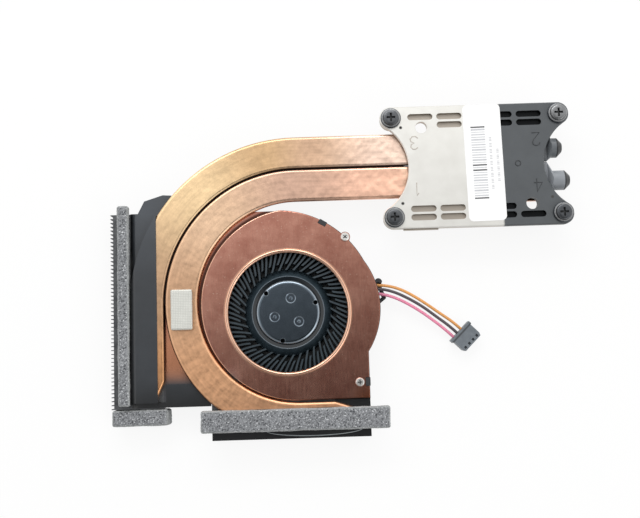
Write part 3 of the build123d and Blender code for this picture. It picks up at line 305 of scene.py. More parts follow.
# Tin plate: a soft bright grey, its gloss cloudy from handling
TIN_CLOUD = 0.6
tin, shader, add, place = new_material("tin_plate")
cloud = add("TexNoise", {"Vector": place, "Scale": 1 / (TIN_CLOUD * MM), "Detail": 4})
rough = add("MapRange", {"Value": cloud, "To Min": 0.22, "To Max": 0.42})
feed(shader, {"Base Color": "#C9C8C2", "Metallic": 1.0, "Roughness": rough})
finish(tin, "crimp_contacts")

# Fan base: a thin-walled tray moulded in black glass-filled polyester, with the screw bosses, the snap
# tabs and the cable hook in one piece. The mould's spark-eroded skin leaves it matt with a fine even
# grain.
BASE_CLOUD = 4.0
# The real grain is about 0.05 mm; 0.25 mm is the finest that shows here.
BASE_GRAIN = 0.25
polyester, shader, add, place = new_material("polyester_moulded_black")
colour = mottled(add, place, BASE_CLOUD, "#1B1C1E", "#2B2D30", detail=6)
grain = add("TexNoise", {"Vector": place, "Scale": 1 / (BASE_GRAIN * MM), "Detail": 3})
bump = add("Bump", {"Height": grain, "Strength": 0.35, "Distance": 0.05 * MM})
feed(shader, {"Base Color": colour, "Roughness": 0.5, "IOR": 1.57, "Normal": bump})
finish(polyester, "fan_base")

# Motor: the bearing tube is turned brass, with a sintered bronze sleeve and a plastic thrust washer in
# it. The stator is a stack of laminations wound with enamelled copper, over a small printed board.
MOTOR_LAYER = 0.35
# Each metal's two colours, roughness and piece. Turning, winding and stacking show as fine level bands
MOTOR_METALS = {
    "brass_turned": ("#C9A54E", "#B08C3C", 0.28, "bearing_tube"),
    "bronze_sintered": ("#8A6A42", "#6E5334", 0.55, "bearing_sleeve"),
    "silicon_steel_stacked": ("#8E9092", "#6C6E70", 0.45, "stator_core"),
    "copper_enamelled": ("#B5662E", "#93491C", 0.3, "stator_coils"),
    "ferrite_bonded": ("#3A3B3D", "#2A2B2C", 0.6, "rotor_magnet"),
    "bearing_steel_ground": ("#D2D3D3", "#B9BABB", 0.18, "motor_shaft"),
}
for name, (bright, dull, roughness, piece) in MOTOR_METALS.items():
    metal, shader, add, place = new_material(name)
    layers = add("Mapping", {"Vector": place, "Scale": (0.1, 0.1, 1.0)})
    bands = add("TexNoise", {"Vector": layers, "Scale": 1 / (MOTOR_LAYER * MM), "Detail": 3})
    colour = add("Mix", {0: bands, 6: dull, 7: bright})
    feed(shader, {"Base Color": colour, "Metallic": 1.0, "Roughness": roughness})
    finish(metal, piece)

# Moulded acetal: milky white and smooth
WASHER_CLOUD = 1.0
washer_plastic, shader, add, place = new_material("acetal_white")
colour = mottled(add, place, WASHER_CLOUD, "#D9D8D0", "#EDECE6", detail=2)
feed(shader, {"Base Color": colour, "Roughness": 0.4, "IOR": 1.48})
finish(washer_plastic, "thrust_washer")

# Glass epoxy laminate: green lacquer with the weave of the glass faint under it
BOARD_WEAVE = 0.8
board_laminate, shader, add, place = new_material("glass_epoxy_green")
weave = add("TexBrick", {"Vector": place, "Scale": 1 / (BOARD_WEAVE * MM), "Mortar Size": 0.04})
feed(weave, {"Color1": "#1F5A33", "Color2": "#256A3C", "Mortar": "#17452A"})
feed(shader, {"Base Color": weave.outputs["Color"], "Roughness": 0.35, "IOR": 1.55})
finish(board_laminate, "motor_board")


# Impeller: hub ring, skirt, web and 74 blades in one moulding of black polyester, pressed round the rotor
# yoke. Its polished mould leaves it smooth, and slate grey where it catches the light.
def from_axis(add, place):
    """Each point's place without its height, and its distance from the upright axis through its origin."""
    flat = add("VectorMath", {0: place, 1: (1, 1, 0)}, operation="MULTIPLY")
    return flat, add("VectorMath", {0: flat}, operation="LENGTH")


HUB_R = 13.1
RIM_HALF_W = 0.16
RIM_INSET = 0.1
SHADE_AND_GLOSS_INSET = 0.3
BLADE_CLOUD = 3.0
blade_plastic, shader, add, place = new_material("polyester_moulded_slate")
cloud = add("TexNoise", {"Vector": place, "Scale": 1 / (BLADE_CLOUD * MM), "Detail": 5})
colour = add("Mix", {0: cloud, 6: "#1E272C", 7: "#35424A"})
radius = from_axis(add, place)[1]
# The hub's sunk top is glossy and painted darker as shade in its recess, and its rim carries a thin painted
# highlight
on_hub = add(
    "MapRange",
    {"Value": radius, "From Min": (HUB_R - RIM_INSET) * MM, "From Max": (HUB_R - SHADE_AND_GLOSS_INSET) * MM},
)
hub_shaded = add("Mix", {0: on_hub, 6: colour, 7: "#171C20"})
rim_highlight = add("Math", {0: radius, 1: HUB_R * MM, 2: RIM_HALF_W * MM}, operation="COMPARE")
rim_highlighted = add("Mix", {0: rim_highlight, 6: hub_shaded, 7: "#5E6870"})
rough = add("MapRange", {"Value": cloud, "To Min": 0.24, "To Max": 0.4})
rough = add("MapRange", {"Value": on_hub, "To Min": rough, "To Max": 0.08})
feed(shader, {"Base Color": rim_highlighted, "Roughness": rough, "IOR": 1.57})
finish(blade_plastic, "impeller")

# Rotor yoke: a steel cup, deep drawn and plated with black nickel, pressed into the impeller. Three stake
# marks on its face hold the shaft's collar, and three small holes stand near its edge.
YOKE_EDGE_R = 10.7
YOKE_EDGE_W = 0.3
YOKE_CLOUD = 2.2
YOKE_PEEL = 0.5
# Each mark's circle and turn on the face, the radius of its ring and half the ring's width
YOKE_MARKS = {
    "stake_ring": (5.15, 78, 1.7, 0.15),
    "stake_dome": (5.15, 78, 0.0, 0.5),
    "hole_rim": (10.5, 18, 0.95, 0.18),
}
# Black nickel: a dark mirror with the faint orange peel of its plating
black_nickel, shader, add, place = new_material("steel_black_nickel")
cloud = add("TexNoise", {"Vector": place, "Scale": 1 / (YOKE_CLOUD * MM), "Detail": 6})
colour = add("Mix", {0: cloud, 6: "#525C65", 7: "#67727C"})
flat, radius = from_axis(add, place)
# Painted highlights: the cup's round edge is made pale, and in patches the stake marks and the rims of the
# holes
edge = add(
    "MapRange",
    {"Value": radius, "From Min": YOKE_EDGE_R * MM, "From Max": (YOKE_EDGE_R + YOKE_EDGE_W) * MM},
)
patch = add("MapRange", {"Value": cloud, "From Min": 0.4, "From Max": 0.6, "To Min": 0.2})
marked = 0.0
for circle_r, turn, ring_r, half_w in YOKE_MARKS.values():
    for third in range(3):
        angle = math.radians(turn + 120 * third)
        spot = (circle_r * math.cos(angle) * MM, circle_r * math.sin(angle) * MM, 0)
        away = add("VectorMath", {0: flat, 1: spot}, operation="DISTANCE")
        ring = add("Math", {0: away, 1: ring_r * MM, 2: half_w * MM}, operation="COMPARE")
        marked = add("Math", {0: marked, 1: ring}, operation="MAXIMUM")
marked = add("Math", {0: marked, 1: patch}, operation="MULTIPLY")
painted_highlight = add("Math", {0: edge, 1: marked}, operation="MAXIMUM")
bright = add("Mix", {0: painted_highlight, 6: colour, 7: "#98A3AC"})
peel = add("TexNoise", {"Vector": place, "Scale": 1 / (YOKE_PEEL * MM), "Detail": 2})
bump = add("Bump", {"Height": peel, "Strength": 0.1, "Distance": 0.02 * MM})
feed(shader, {"Base Color": bright, "Metallic": 1.0, "Roughness": 0.2, "Normal": bump})
finish(black_nickel, "rotor_yoke")

# Fan cover: one stamped copper sheet, brown with tarnish, with the rolling marks of the sheet running
# across the fan. The lip round the inlet was rolled last and is cleaner. Black spray from the film's side
# has settled on the lower level in the corner beside the pipes.
LIP_OUT_R = 23.0
LIP_BLUR = 0.4
LIP_MARGIN = 2.0
TARNISH_PATCH = 11.0
COVER_NICK = 0.6
ROLLING_MARK = 0.35
ROLLING_RUN = 5.0
SPRAY_TOP_Y = -17.0
SPRAY_FULL_Y = -25.5
SPRAY_RIGHT_X = -17.0
SPRAY_BLUR = 3.0
ISLAND_CENTRE = (3.3, 3.0)
ISLAND_R = 34.7
ISLAND_EDGE = 0.4
LEFT_SIDE_BLUR = 6.0
FREE_SIDE_X = 10.0
FRESH_Y = -10.0
STAIN_AT = (28.6, -31.6)
STAIN_R = 7.0
STAIN_FULL_R = 2.0
GROOVE_TOP_Z = 9.4
GROOVE_OUT_R = 36.5
GROOVE_FALL = 0.4
GROOVE_BLUR = 0.9
sheet_copper, shader, add, place = new_material("copper_sheet_tarnished")
split = add("SeparateXYZ", {0: place})
patches = add(
    "TexNoise", {"Vector": place, "Scale": 1 / (TARNISH_PATCH * MM), "Detail": 8, "Roughness": 0.68}
)
run = add(
    "Mapping",
    {"Vector": place, "Scale": (1 / (ROLLING_MARK * MM), 1 / (ROLLING_RUN * MM), 1 / (ROLLING_RUN * MM))},
)
marks = add("TexNoise", {"Vector": run, "Scale": 1.0, "Detail": 4})
blotch = add("MapRange", {"Value": patches, "From Min": 0.3, "From Max": 0.7})
tarnish = add("Mix", {0: blotch, 6: "#AE7161", 7: "#DAA18D"})
streak = add(
    "MapRange", {"Value": marks, "From Min": 0.3, "From Max": 0.7, "To Min": 0.94, "To Max": 1.04}
)
streaked = add("VectorMath", {0: tarnish, "Scale": streak}, operation="SCALE")
flat, radius = from_axis(add, place)
on_lip = add(
    "MapRange", {"Value": radius, "From Min": (LIP_OUT_R + LIP_BLUR) * MM, "From Max": LIP_OUT_R * MM}
)
# Fine bright nicks all over, and a rusty stain in the corner beside the lower screw
nicks = add("TexNoise", {"Vector": place, "Scale": 1 / (COVER_NICK * MM), "Detail": 1})
nicked = add("MapRange", {"Value": nicks, "From Min": 0.7, "From Max": 0.76, "To Max": 0.7})
speckled = add("Mix", {0: nicked, 6: streaked, 7: "#E9C6B4"})
from_stain = add(
    "VectorMath", {0: flat, 1: (STAIN_AT[0] * MM, STAIN_AT[1] * MM, 0)}, operation="DISTANCE"
)
near_stain = add(
    "MapRange", {"Value": from_stain, "From Min": STAIN_R * MM, "From Max": STAIN_FULL_R * MM}
)
rust = add("Math", {0: near_stain, 1: blotch}, operation="MULTIPLY")
stained = add("Mix", {0: rust, 6: speckled, 7: "#A85A2C"})
cleaner = add("Mix", {0: on_lip, 6: stained, 7: "#EBBDA3"})
# Painted highlight: a pale line along the island's rounded edge, on its left side
from_island = add(
    "VectorMath", {0: flat, 1: (ISLAND_CENTRE[0] * MM, ISLAND_CENTRE[1] * MM, 0)}, operation="DISTANCE"
)
off_edge = add("Math", {0: from_island, 1: ISLAND_R * MM, 2: ISLAND_EDGE * MM}, operation="COMPARE")
left_side = add(
    "MapRange",
    {
        "Value": split.outputs["X"],
        "From Min": LEFT_SIDE_BLUR * MM,
        "From Max": -LEFT_SIDE_BLUR * MM,
        "To Max": 0.9,
    },
)
wear_and_highlight = add("Math", {0: off_edge, 1: left_side}, operation="MULTIPLY")
edge_highlighted = add("Mix", {0: wear_and_highlight, 6: cleaner, 7: "#F0C7AE"})
# Painted shade darkens the groove between the island and the pipe
sunk = add(
    "MapRange",
    {
        "Value": split.outputs["Z"],
        "From Min": GROOVE_TOP_Z * MM,
        "From Max": (GROOVE_TOP_Z - GROOVE_FALL) * MM,
    },
)
# The low corner beside the fins is less tarnished
cornered = add("MapRange", {"Value": split.outputs["Y"], "From Max": FRESH_Y * MM})
cornered = add("Math", {0: cornered, 1: sunk}, operation="MULTIPLY")
fresh = add("Mix", {0: cornered, 6: edge_highlighted, 7: "#E6A07B"})
near = add(
    "MapRange",
    {"Value": from_island, "From Min": GROOVE_OUT_R * MM, "From Max": (GROOVE_OUT_R - GROOVE_BLUR) * MM},
)
near = add("Math", {0: near, 1: left_side}, operation="MULTIPLY")
groove_shade = add("Math", {0: sunk, 1: near}, operation="MULTIPLY")
groove_shaded = add("Mix", {0: groove_shade, 6: fresh, 7: "#3A201B"})
# Painted shade: the steep sides round the scroll are darker, on the right where no pipe covers them
facing = add("NewGeometry").outputs["Normal"]
facing = add("SeparateXYZ", {0: facing}).outputs["Z"]
steep = add("MapRange", {"Value": facing, "From Min": 0.99, "From Max": 0.9})
free_side = add("MapRange", {"Value": split.outputs["X"], "From Max": FREE_SIDE_X * MM})
outside = add("Math", {0: radius, 1: (LIP_OUT_R + LIP_MARGIN) * MM}, operation="GREATER_THAN")
outside = add("Math", {0: outside, 1: free_side}, operation="MULTIPLY")
steep_side_shade = add("Math", {0: outside, 1: steep}, operation="MULTIPLY")
side_shaded = add("Mix", {0: steep_side_shade, 6: groove_shaded, 7: "#4A3026"})
low = add(
    "MapRange",
    {"Value": split.outputs["Y"], "From Min": SPRAY_TOP_Y * MM, "From Max": SPRAY_FULL_Y * MM},
    interpolation_type="SMOOTHSTEP",
)
leftward = add(
    "MapRange",
    {
        "Value": split.outputs["X"],
        "From Min": SPRAY_RIGHT_X * MM,
        "From Max": (SPRAY_RIGHT_X - SPRAY_BLUR) * MM,
    },
)
sprayed = add("Math", {0: low, 1: leftward}, operation="MULTIPLY")
colour = add("Mix", {0: sprayed, 6: side_shaded, 7: "#414245"})
metallic = add("MapRange", {"Value": sprayed, "To Min": 1.0, "To Max": 0.0})
dull = add("MapRange", {"Value": marks, "To Min": 0.17, "To Max": 0.25})
rough = add("MapRange", {"Value": on_lip, "To Min": dull, "To Max": 0.18})
marked = add("MapRange", {"Value": on_lip, "To Min": 0.12, "To Max": 0.0})
bump = add("Bump", {"Height": marks, "Strength": marked, "Distance": 0.02 * MM})
feed(shader, {"Base Color": colour, "Metallic": metallic, "Roughness": rough, "Normal": bump})
finish(sheet_copper, "fan_cover")


# Cover screws: two small pan-head screws of bright nickel-plated steel. They go through the cover and are
# driven into the base's bosses.
def turned_screw(outline, cross_l, cross_w, cross_depth, sides=56, taper=0.7):
    """A screw's mesh about its own axis: an outline of radii and heights turned round, with a cross recess.

    The recess has the second material."""
    mesh = bmesh.new()
    rings = []
    for ring_r, ring_z in outline:
        turns = [2 * math.pi * side / sides for side in range(sides)]
        ring = [mesh.verts.new((ring_r * math.cos(t), ring_r * math.sin(t), ring_z)) for t in turns]
        rings.append(ring)
    for low, high in zip(rings, rings[1:]):
        for side in range(sides):
            after = (side + 1) % sides
            mesh.faces.new((low[side], low[after], high[after], high[side]))
    mesh.faces.new(rings[0][::-1])
    half_l, half_w = cross_l / 2, cross_w / 2
    quarter = [(half_l, -half_w), (half_l, half_w), (half_w, half_w)]
    outline_top = outline[-1][1]
    mouth, floor = [], []
    for turn in range(4):
        swing = Matrix.Rotation(math.pi / 2 * turn, 2)
        for corner in quarter:
            x, y = swing @ Vector(corner)
            mouth.append(mesh.verts.new((x, y, outline_top)))
            floor.append(mesh.verts.new((x * taper, y * taper, outline_top - cross_depth)))
    count = len(mouth)
    edges = []
    for at in range(count):
        after = (at + 1) % count
        mesh.faces.new((mouth[at], mouth[after], floor[after], floor[at])).material_index = 1
        edges.append(mesh.edges.get((mouth[at], mouth[after])))
    mesh.faces.new(floor).material_index = 1
    edges += [mesh.edges.get((rings[-1][side], rings[-1][(side + 1) % sides])) for side in range(sides)]
    bmesh.ops.triangle_fill(mesh, edges=edges, use_beauty=True, normal=(0, 0, 1))
    bmesh.ops.recalc_face_normals(mesh, faces=mesh.faces)
    return mesh


def add_piece(name, mesh, materials, body, smooth_angle=35):
    """Makes a scene piece from a mesh in millimetres, with its materials, and fixes it to a body."""
    bmesh.ops.transform(mesh, matrix=Matrix.Scale(MM, 4), verts=mesh.verts)
    data = bpy.data.meshes.new(name)
    mesh.to_mesh(data)
    mesh.free()
    data.shade_smooth()
    data.set_sharp_from_angle(angle=math.radians(smooth_angle))
    for material in materials:
        data.materials.append(material)
    piece = bpy.data.objects.new(name, data)
    scene.collection.objects.link(piece)
    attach(piece, body)
    return piece


NICKEL_CLOUD = 0.7
GREASE_CLOUD = 0.4
# Nickel plate: nearly white, its gloss a little cloudy
nickel, shader, add, place = new_material("steel_nickel_plated")
cloud = add("TexNoise", {"Vector": place, "Scale": 1 / (NICKEL_CLOUD * MM), "Detail": 5})
rough = add("MapRange", {"Value": cloud, "To Min": 0.2, "To Max": 0.4})
feed(shader, {"Base Color": "#F2F1ED", "Metallic": 1.0, "Roughness": rough})
# Grease and thread dust stay in the recess, which looks dark and dull; its darkness is partly painted shade
recess_grease_and_shade, shader, add, place = new_material("steel_greasy_shaded")
colour = mottled(add, place, GREASE_CLOUD, "#17181A", "#37393B", detail=4)
feed(shader, {"Base Color": colour, "Roughness": 0.4, "IOR": 1.47})
low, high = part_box("cover_screws")
COVER_HEAD_R = 1.6
COVER_HEAD_H = 0.8
COVER_SHANK_R = 0.8
# The cross recess: its length across, its width and its depth
COVER_CROSS = (1.6, 0.36, 0.4)
head_foot = high.z / MM - COVER_HEAD_H
cover_screw_outline = [
    (0.5, low.z / MM),
    (COVER_SHANK_R, low.z / MM + 0.4),
    (COVER_SHANK_R, head_foot),
    (COVER_HEAD_R, head_foot),
    (COVER_HEAD_R, head_foot + 0.4),
    (COVER_HEAD_R - 0.1, head_foot + 0.62),
    (COVER_HEAD_R - 0.35, high.z / MM),
]
# Each screw's place and the turn of its cross in degrees
screw_places = [
    (low.x / MM + COVER_HEAD_R, high.y / MM - COVER_HEAD_R, 45),
    (high.x / MM - COVER_HEAD_R, low.y / MM + COVER_HEAD_R, 3),
]
for number, (x, y, turn) in enumerate(screw_places, start=1):
    mesh = turned_screw(cover_screw_outline, *COVER_CROSS)
    bmesh.ops.rotate(mesh, matrix=Matrix.Rotation(math.radians(turn), 3, "Z"), verts=mesh.verts)
    bmesh.ops.transform(mesh, matrix=Matrix.Translation((x, y, 0)), verts=mesh.verts)
    screw = add_piece(f"cover_screw_{number}", mesh, [nickel, recess_grease_and_shade], "frame")
    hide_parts("cover_screws")

# Fin stacks: thin folded sheets of aluminium, soldered side by side under the pipes and blackened. They
# are dull and cloudy, and the ends of the fins show as teeth.
FIN_CLOUD = 2.0
fin_metal, shader, add, place = new_material("aluminium_blackened")
colour = mottled(add, place, FIN_CLOUD, "#343537", "#77797B", detail=6)
feed(shader, {"Base Color": colour, "Metallic": 0.8, "Roughness": 0.48})
finish(fin_metal, "left_fin_stack", "rear_fin_stack")

# Heat pipes: round copper tubes that were bent and pressed flat, their fin ends crimped shut and their
# plate ends left round. The heat of soldering left them rosy, and the press a little wavy towards the
# plate. They are golden where they were bent, and handling has mottled them.
BEND_AT = (3.7, 4.0)
BEND_R = 48.0
PIPE_GAP_R = 48.25
GAP_SHADE_W = 0.7
GAP_SHADE_FULL_W = 0.3
# Each pipe's colours by the millimetres from the start of its bend, counted away from the plate
# Besides the rosy and golden tints, their lighter and darker stretches are painted light and shade
PIPE_TINTS_AND_SHADES = {
    "outer_heat_pipe": {
        -34: "#FFE0CC", -6: "#DAB597", 10: "#D6B288", 34: "#F8D8AA", 70: "#D0AA88", 100: "#DAA274"
    },
    "inner_heat_pipe": {
        -32: "#FFCDB2", 0: "#D6B09A", 36: "#EFCAA8", 72: "#DBB08D", 106: "#F4BC90", 155: "#E0AA84"
    },
}
PIPE_PATCH = 12.0
PIPE_FLECK = 1.8
PIPE_WAVE = 7.0
DRAWING_MARK = 0.8
DRAWING_RUN = 20.0
ROSY_FROM_X = 10.0
ROSY_TO_X = 50.0
PAINT_FROM_X = 92.0
PAINT_EDGE = 0.5
CRIMP_TIP = 2.4
TIP_BLUR = 0.3


def drawn_copper(name, node, half_turn, paint_with_light_and_shade):
    """Gives a pipe its copper: marks and tints follow its bend, and its end has the plate's black paint
    with a tip painted black as shade.
    """
    copper, shader, add, place = new_material(name)
    x = add("SeparateXYZ", {0: place}).outputs["X"]
    centred = add(
        "VectorMath", {0: place, 1: (BEND_AT[0] * MM, BEND_AT[1] * MM, 0)}, operation="SUBTRACT"
    )
    offset = add("SeparateXYZ", {0: centred})
    side = add("Math", {0: offset.outputs["X"], 1: 0.0}, operation="MINIMUM")
    straight = add("Math", {0: offset.outputs["X"], 1: 0.0}, operation="MAXIMUM")
    rise = offset.outputs["Y"]
    if half_turn:
        way = add("Math", {0: rise}, operation="SIGN")
        straight = add("Math", {0: straight, 1: way}, operation="MULTIPLY")
    else:
        rise = add("Math", {0: rise, 1: 0.0}, operation="MAXIMUM")
    spoke = add("CombineXYZ", {"X": side, "Y": rise})
    across = add("VectorMath", {0: spoke}, operation="LENGTH")
    outward = add("Math", {0: 0.0, 1: side}, operation="SUBTRACT")
    angle = add("Math", {0: outward, 1: rise}, operation="ARCTAN2")
    arc = add("Math", {0: angle, 1: BEND_R * MM}, operation="MULTIPLY")
    along = add("Math", {0: arc, 1: straight}, operation="SUBTRACT")
    if not half_turn:
        drop = add("Math", {0: offset.outputs["Y"], 1: 0.0}, operation="MINIMUM")
        along = add("Math", {0: along, 1: drop}, operation="SUBTRACT")
    unrolled = add("CombineXYZ", {"X": across, "Y": along})
    run = add(
        "Mapping", {"Vector": unrolled, "Scale": (1 / (DRAWING_MARK * MM), 1 / (DRAWING_RUN * MM), 1.0)}
    )
    marks = add("TexNoise", {"Vector": run, "Scale": 1.0, "Detail": 4})
    patches = add(
        "TexNoise", {"Vector": unrolled, "Scale": 1 / (PIPE_PATCH * MM), "Detail": 7, "Roughness": 0.65}
    )
    tints_and_shades = PIPE_TINTS_AND_SHADES[node]
    first, *between, last = tints_and_shades
    share = add("MapRange", {"Value": along, "From Min": first * MM, "From Max": last * MM})
    tint_and_shade = add("ValToRGB", {0: share})
    tint_and_shade.color_ramp.interpolation = "EASE"
    tint_and_shade.color_ramp.elements[0].color = linear(tints_and_shades[first])
    tint_and_shade.color_ramp.elements[1].color = linear(tints_and_shades[last])
    for place_along in between:
        stop = tint_and_shade.color_ramp.elements.new((place_along - first) / (last - first))
        stop.color = linear(tints_and_shades[place_along])
    heated = add(
        "MapRange",
        {"Value": x, "From Min": ROSY_FROM_X * MM, "From Max": ROSY_TO_X * MM},
        interpolation_type="SMOOTHSTEP",
    )
    flecks = add(
        "TexNoise", {"Vector": unrolled, "Scale": 1 / (PIPE_FLECK * MM), "Detail": 5, "Roughness": 0.7}
    )
    uneven = add("Math", {0: marks, 1: 0.6, 2: flecks}, operation="MULTIPLY_ADD")
    blotched = add("Math", {0: patches, 1: 0.8, 2: uneven}, operation="MULTIPLY_ADD")
    shade = add(
        "MapRange", {"Value": blotched, "From Min": 0.9, "From Max": 1.5, "To Min": 0.86, "To Max": 1.12}
    )
    worn = add("VectorMath", {0: tint_and_shade, "Scale": shade}, operation="SCALE")
    # Painted shade darkens each pipe along the seam between the two pipes
    from_gap = add("Math", {0: across, 1: PIPE_GAP_R * MM}, operation="SUBTRACT")
    from_gap = add("Math", {0: from_gap}, operation="ABSOLUTE")
    gap_shade = add("MapRange", {"Value": from_gap, "From Min": GAP_SHADE_W * MM, "From Max": GAP_SHADE_FULL_W * MM})
    gap_shaded = add("Mix", {0: gap_shade, 6: worn, 7: "#4A3228"})
    painted = add(
        "MapRange",
        {"Value": x, "From Min": PAINT_FROM_X * MM, "From Max": (PAINT_FROM_X + PAINT_EDGE) * MM},
    )
    # Painted shade: the crimped tip is black
    end_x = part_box(node)[1].x
    tip_shade = add(
        "MapRange",
        {"Value": x, "From Min": end_x - CRIMP_TIP * MM, "From Max": end_x - (CRIMP_TIP - TIP_BLUR) * MM},
    )
    spray = add("Mix", {0: tip_shade, 6: paint_with_light_and_shade, 7: "#1B1C1E"})
    colour = add("Mix", {0: painted, 6: gap_shaded, 7: spray})
    metallic = add("MapRange", {"Value": painted, "To Min": 1.0, "To Max": 0.0})
    rough = add(
        "MapRange", {"Value": uneven, "From Min": 0.45, "From Max": 1.15, "To Min": 0.28, "To Max": 0.46}
    )
    waves = add("TexNoise", {"Vector": unrolled, "Scale": 1 / (PIPE_WAVE * MM), "Detail": 2})
    pressed = add("MapRange", {"Value": heated, "To Min": 0.3})
    swell = add("Bump", {"Height": waves, "Strength": pressed, "Distance": 0.65 * MM})
    bump = add("Bump", {"Height": uneven, "Strength": 0.2, "Distance": 0.02 * MM, "Normal": swell})
    feed(shader, {"Base Color": colour, "Metallic": metallic, "Roughness": rough, "Normal": bump})
    finish(copper, node)


# One black paint on both ends, given a darker grey on the outer pipe and a lighter one on the inner, as
# painted shade and light
drawn_copper("copper_tube_golden", "outer_heat_pipe", False, "#62666A")
drawn_copper("copper_tube_rosy", "inner_heat_pipe", True, "#888C91")

# A dark brown strip closes the seam between the two pipes: painted shade, standing for the shade in the gap
SEAM_SHADE_CLOUD = 1.5
seam_shade, shader, add, place = new_material("seam_shade_brown")
colour = mottled(add, place, SEAM_SHADE_CLOUD, "#1E1411", "#3E2A22", detail=4)
feed(shader, {"Base Color": colour, "Roughness": 0.6, "IOR": 1.5})
SEAM_SHADE_HALF_W = 0.15
SEAM_SHADE_Z = (9.6, 9.8)
SEAM_SHADE_END_X = 44.0
SEAM_SHADE_STEPS = 60
mesh = bmesh.new()
sections = []
for step in range(-1, SEAM_SHADE_STEPS + 1):
    angle = math.pi / 2 * max(step, 0) / SEAM_SHADE_STEPS
    start_x = SEAM_SHADE_END_X if step < 0 else BEND_AT[0]
    section = []
    for side, z in zip((-1, 1, 1, -1), sorted(SEAM_SHADE_Z * 2)):
        radius = PIPE_GAP_R + side * SEAM_SHADE_HALF_W
        place = (start_x - radius * math.sin(angle), BEND_AT[1] + radius * math.cos(angle), z)
        section.append(mesh.verts.new(place))
    sections.append(section)
for before, after in zip(sections, sections[1:]):
    for k in range(4):
        mesh.faces.new((before[k], before[k - 1], after[k - 1], after[k]))
mesh.faces.new(sections[0])
mesh.faces.new(sections[-1][::-1])
bmesh.ops.recalc_face_normals(mesh, faces=mesh.faces)
add_piece("pipe_seam_shade", mesh, [seam_shade], "frame")

# Duct films: black polyester film, stuck over the pipes' outer sides and folded down onto the fin stacks,
# so that the air can't leave over the top.
FILM_CLOUD = 8.0
FILM_RIPPLE = 5.0
FILM_DARKER_Y = (-22.0, -32.0)
FILM_DARKER = 0.25
FILM_PALER_Y = (15.0, 38.0)
FILM_PALER = 1.9
# Polyester film: glossy black, with slow ripples where it is stuck down
pet_film, shader, add, place = new_material("polyester_film_black")
colour = mottled(add, place, FILM_CLOUD, "#26292D", "#34383D", detail=4)
# The film is made darker towards the rear and paler towards the far end
sideways, lengthways = add("SeparateXYZ", {0: place}).outputs[:2]
fresh = add(
    "MapRange",
    {
        "Value": lengthways,
        "From Min": FILM_DARKER_Y[0] * MM,
        "From Max": FILM_DARKER_Y[1] * MM,
        "To Min": 1.0,
        "To Max": FILM_DARKER,
    },
)
paler_far = add(
    "MapRange",
    {
        "Value": lengthways,
        "From Min": FILM_PALER_Y[0] * MM,
        "From Max": FILM_PALER_Y[1] * MM,
        "To Min": 1.0,
        "To Max": FILM_PALER,
    },
)
tone = add("Math", {0: fresh, 1: paler_far}, operation="MULTIPLY")
toned = add("VectorMath", {0: colour, "Scale": tone}, operation="SCALE")
# Beside the long foam the film rounds off over the pipe's shoulder, and its colour there is darkened as
# painted shade from the foam
SHOULDER_W = 1.9
SHOULDER_FALL = 1.2
shoulder_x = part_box("left_duct_film")[0].x
shoulder = add(
    "MapRange", {"Value": sideways, "From Min": shoulder_x + SHOULDER_W * MM, "From Max": shoulder_x}
)
fall = add("Math", {0: shoulder, 1: 2.0}, operation="POWER")
rounded = add("Bump", {"Height": fall, "Strength": 1.0, "Distance": SHOULDER_FALL * MM}, invert=True)
shoulder_shade = add("MapRange", {"Value": shoulder, "To Min": 1.0, "To Max": 0.1})
toned = add("VectorMath", {0: toned, "Scale": shoulder_shade}, operation="SCALE")
ripple = add("TexNoise", {"Vector": place, "Scale": 1 / (FILM_RIPPLE * MM), "Detail": 1})
bump = add("Bump", {"Height": ripple, "Strength": 0.3, "Distance": 0.15 * MM, "Normal": rounded})
feed(shader, {"Base Color": toned, "Roughness": 0.3, "IOR": 1.6, "Normal": bump})
finish(pet_film, "left_duct_film", "rear_duct_film")

# The rear film lifts off in a shallow bulge behind the foam, and the crease along its curved edge is pale
# grey as a painted highlight.
BULGE_HIGHLIGHT_CLOUD = 2.0
bulge_highlight, shader, add, place = new_material("polyester_film_highlit")
colour = mottled(add, place, BULGE_HIGHLIGHT_CLOUD, "#6A7174", "#9AA1A3", detail=3)
feed(shader, {"Base Color": colour, "Roughness": 0.4, "IOR": 1.6})
BULGE_X = (-9.0, 25.5)
BULGE_Y = (-41.9, -44.2)
BULGE_FOOT = 0.02
BULGE_RISE = 0.3
BULGE_CREASE = 0.35
BULGE_STEPS = 40
film_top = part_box("rear_duct_film")[1].z / MM
mesh = bmesh.new()
rows = []
for inset, rise in ((0.0, BULGE_FOOT), (BULGE_CREASE, BULGE_RISE)):
    half_l = (BULGE_X[1] - BULGE_X[0]) / 2 - inset
    depth = BULGE_Y[0] - BULGE_Y[1] - inset
    row = []
    for step in range(BULGE_STEPS + 1):
        angle = math.pi * step / BULGE_STEPS
        x = sum(BULGE_X) / 2 - half_l * math.cos(angle)
        row.append(mesh.verts.new((x, BULGE_Y[0] - depth * math.sin(angle), film_top + rise)))
    rows.append(row)
for edge in range(BULGE_STEPS):
    mesh.faces.new(
        (rows[0][edge], rows[0][edge + 1], rows[1][edge + 1], rows[1][edge])
    ).material_index = 1
mesh.faces.new(rows[1])
mesh.faces.new(rows[0][::-1])
mesh.faces.new((rows[0][0], rows[1][0], rows[1][-1], rows[0][-1]))
bmesh.ops.recalc_face_normals(mesh, faces=mesh.faces)
add_piece("rear_film_bulge", mesh, [pet_film, bulge_highlight], "frame")


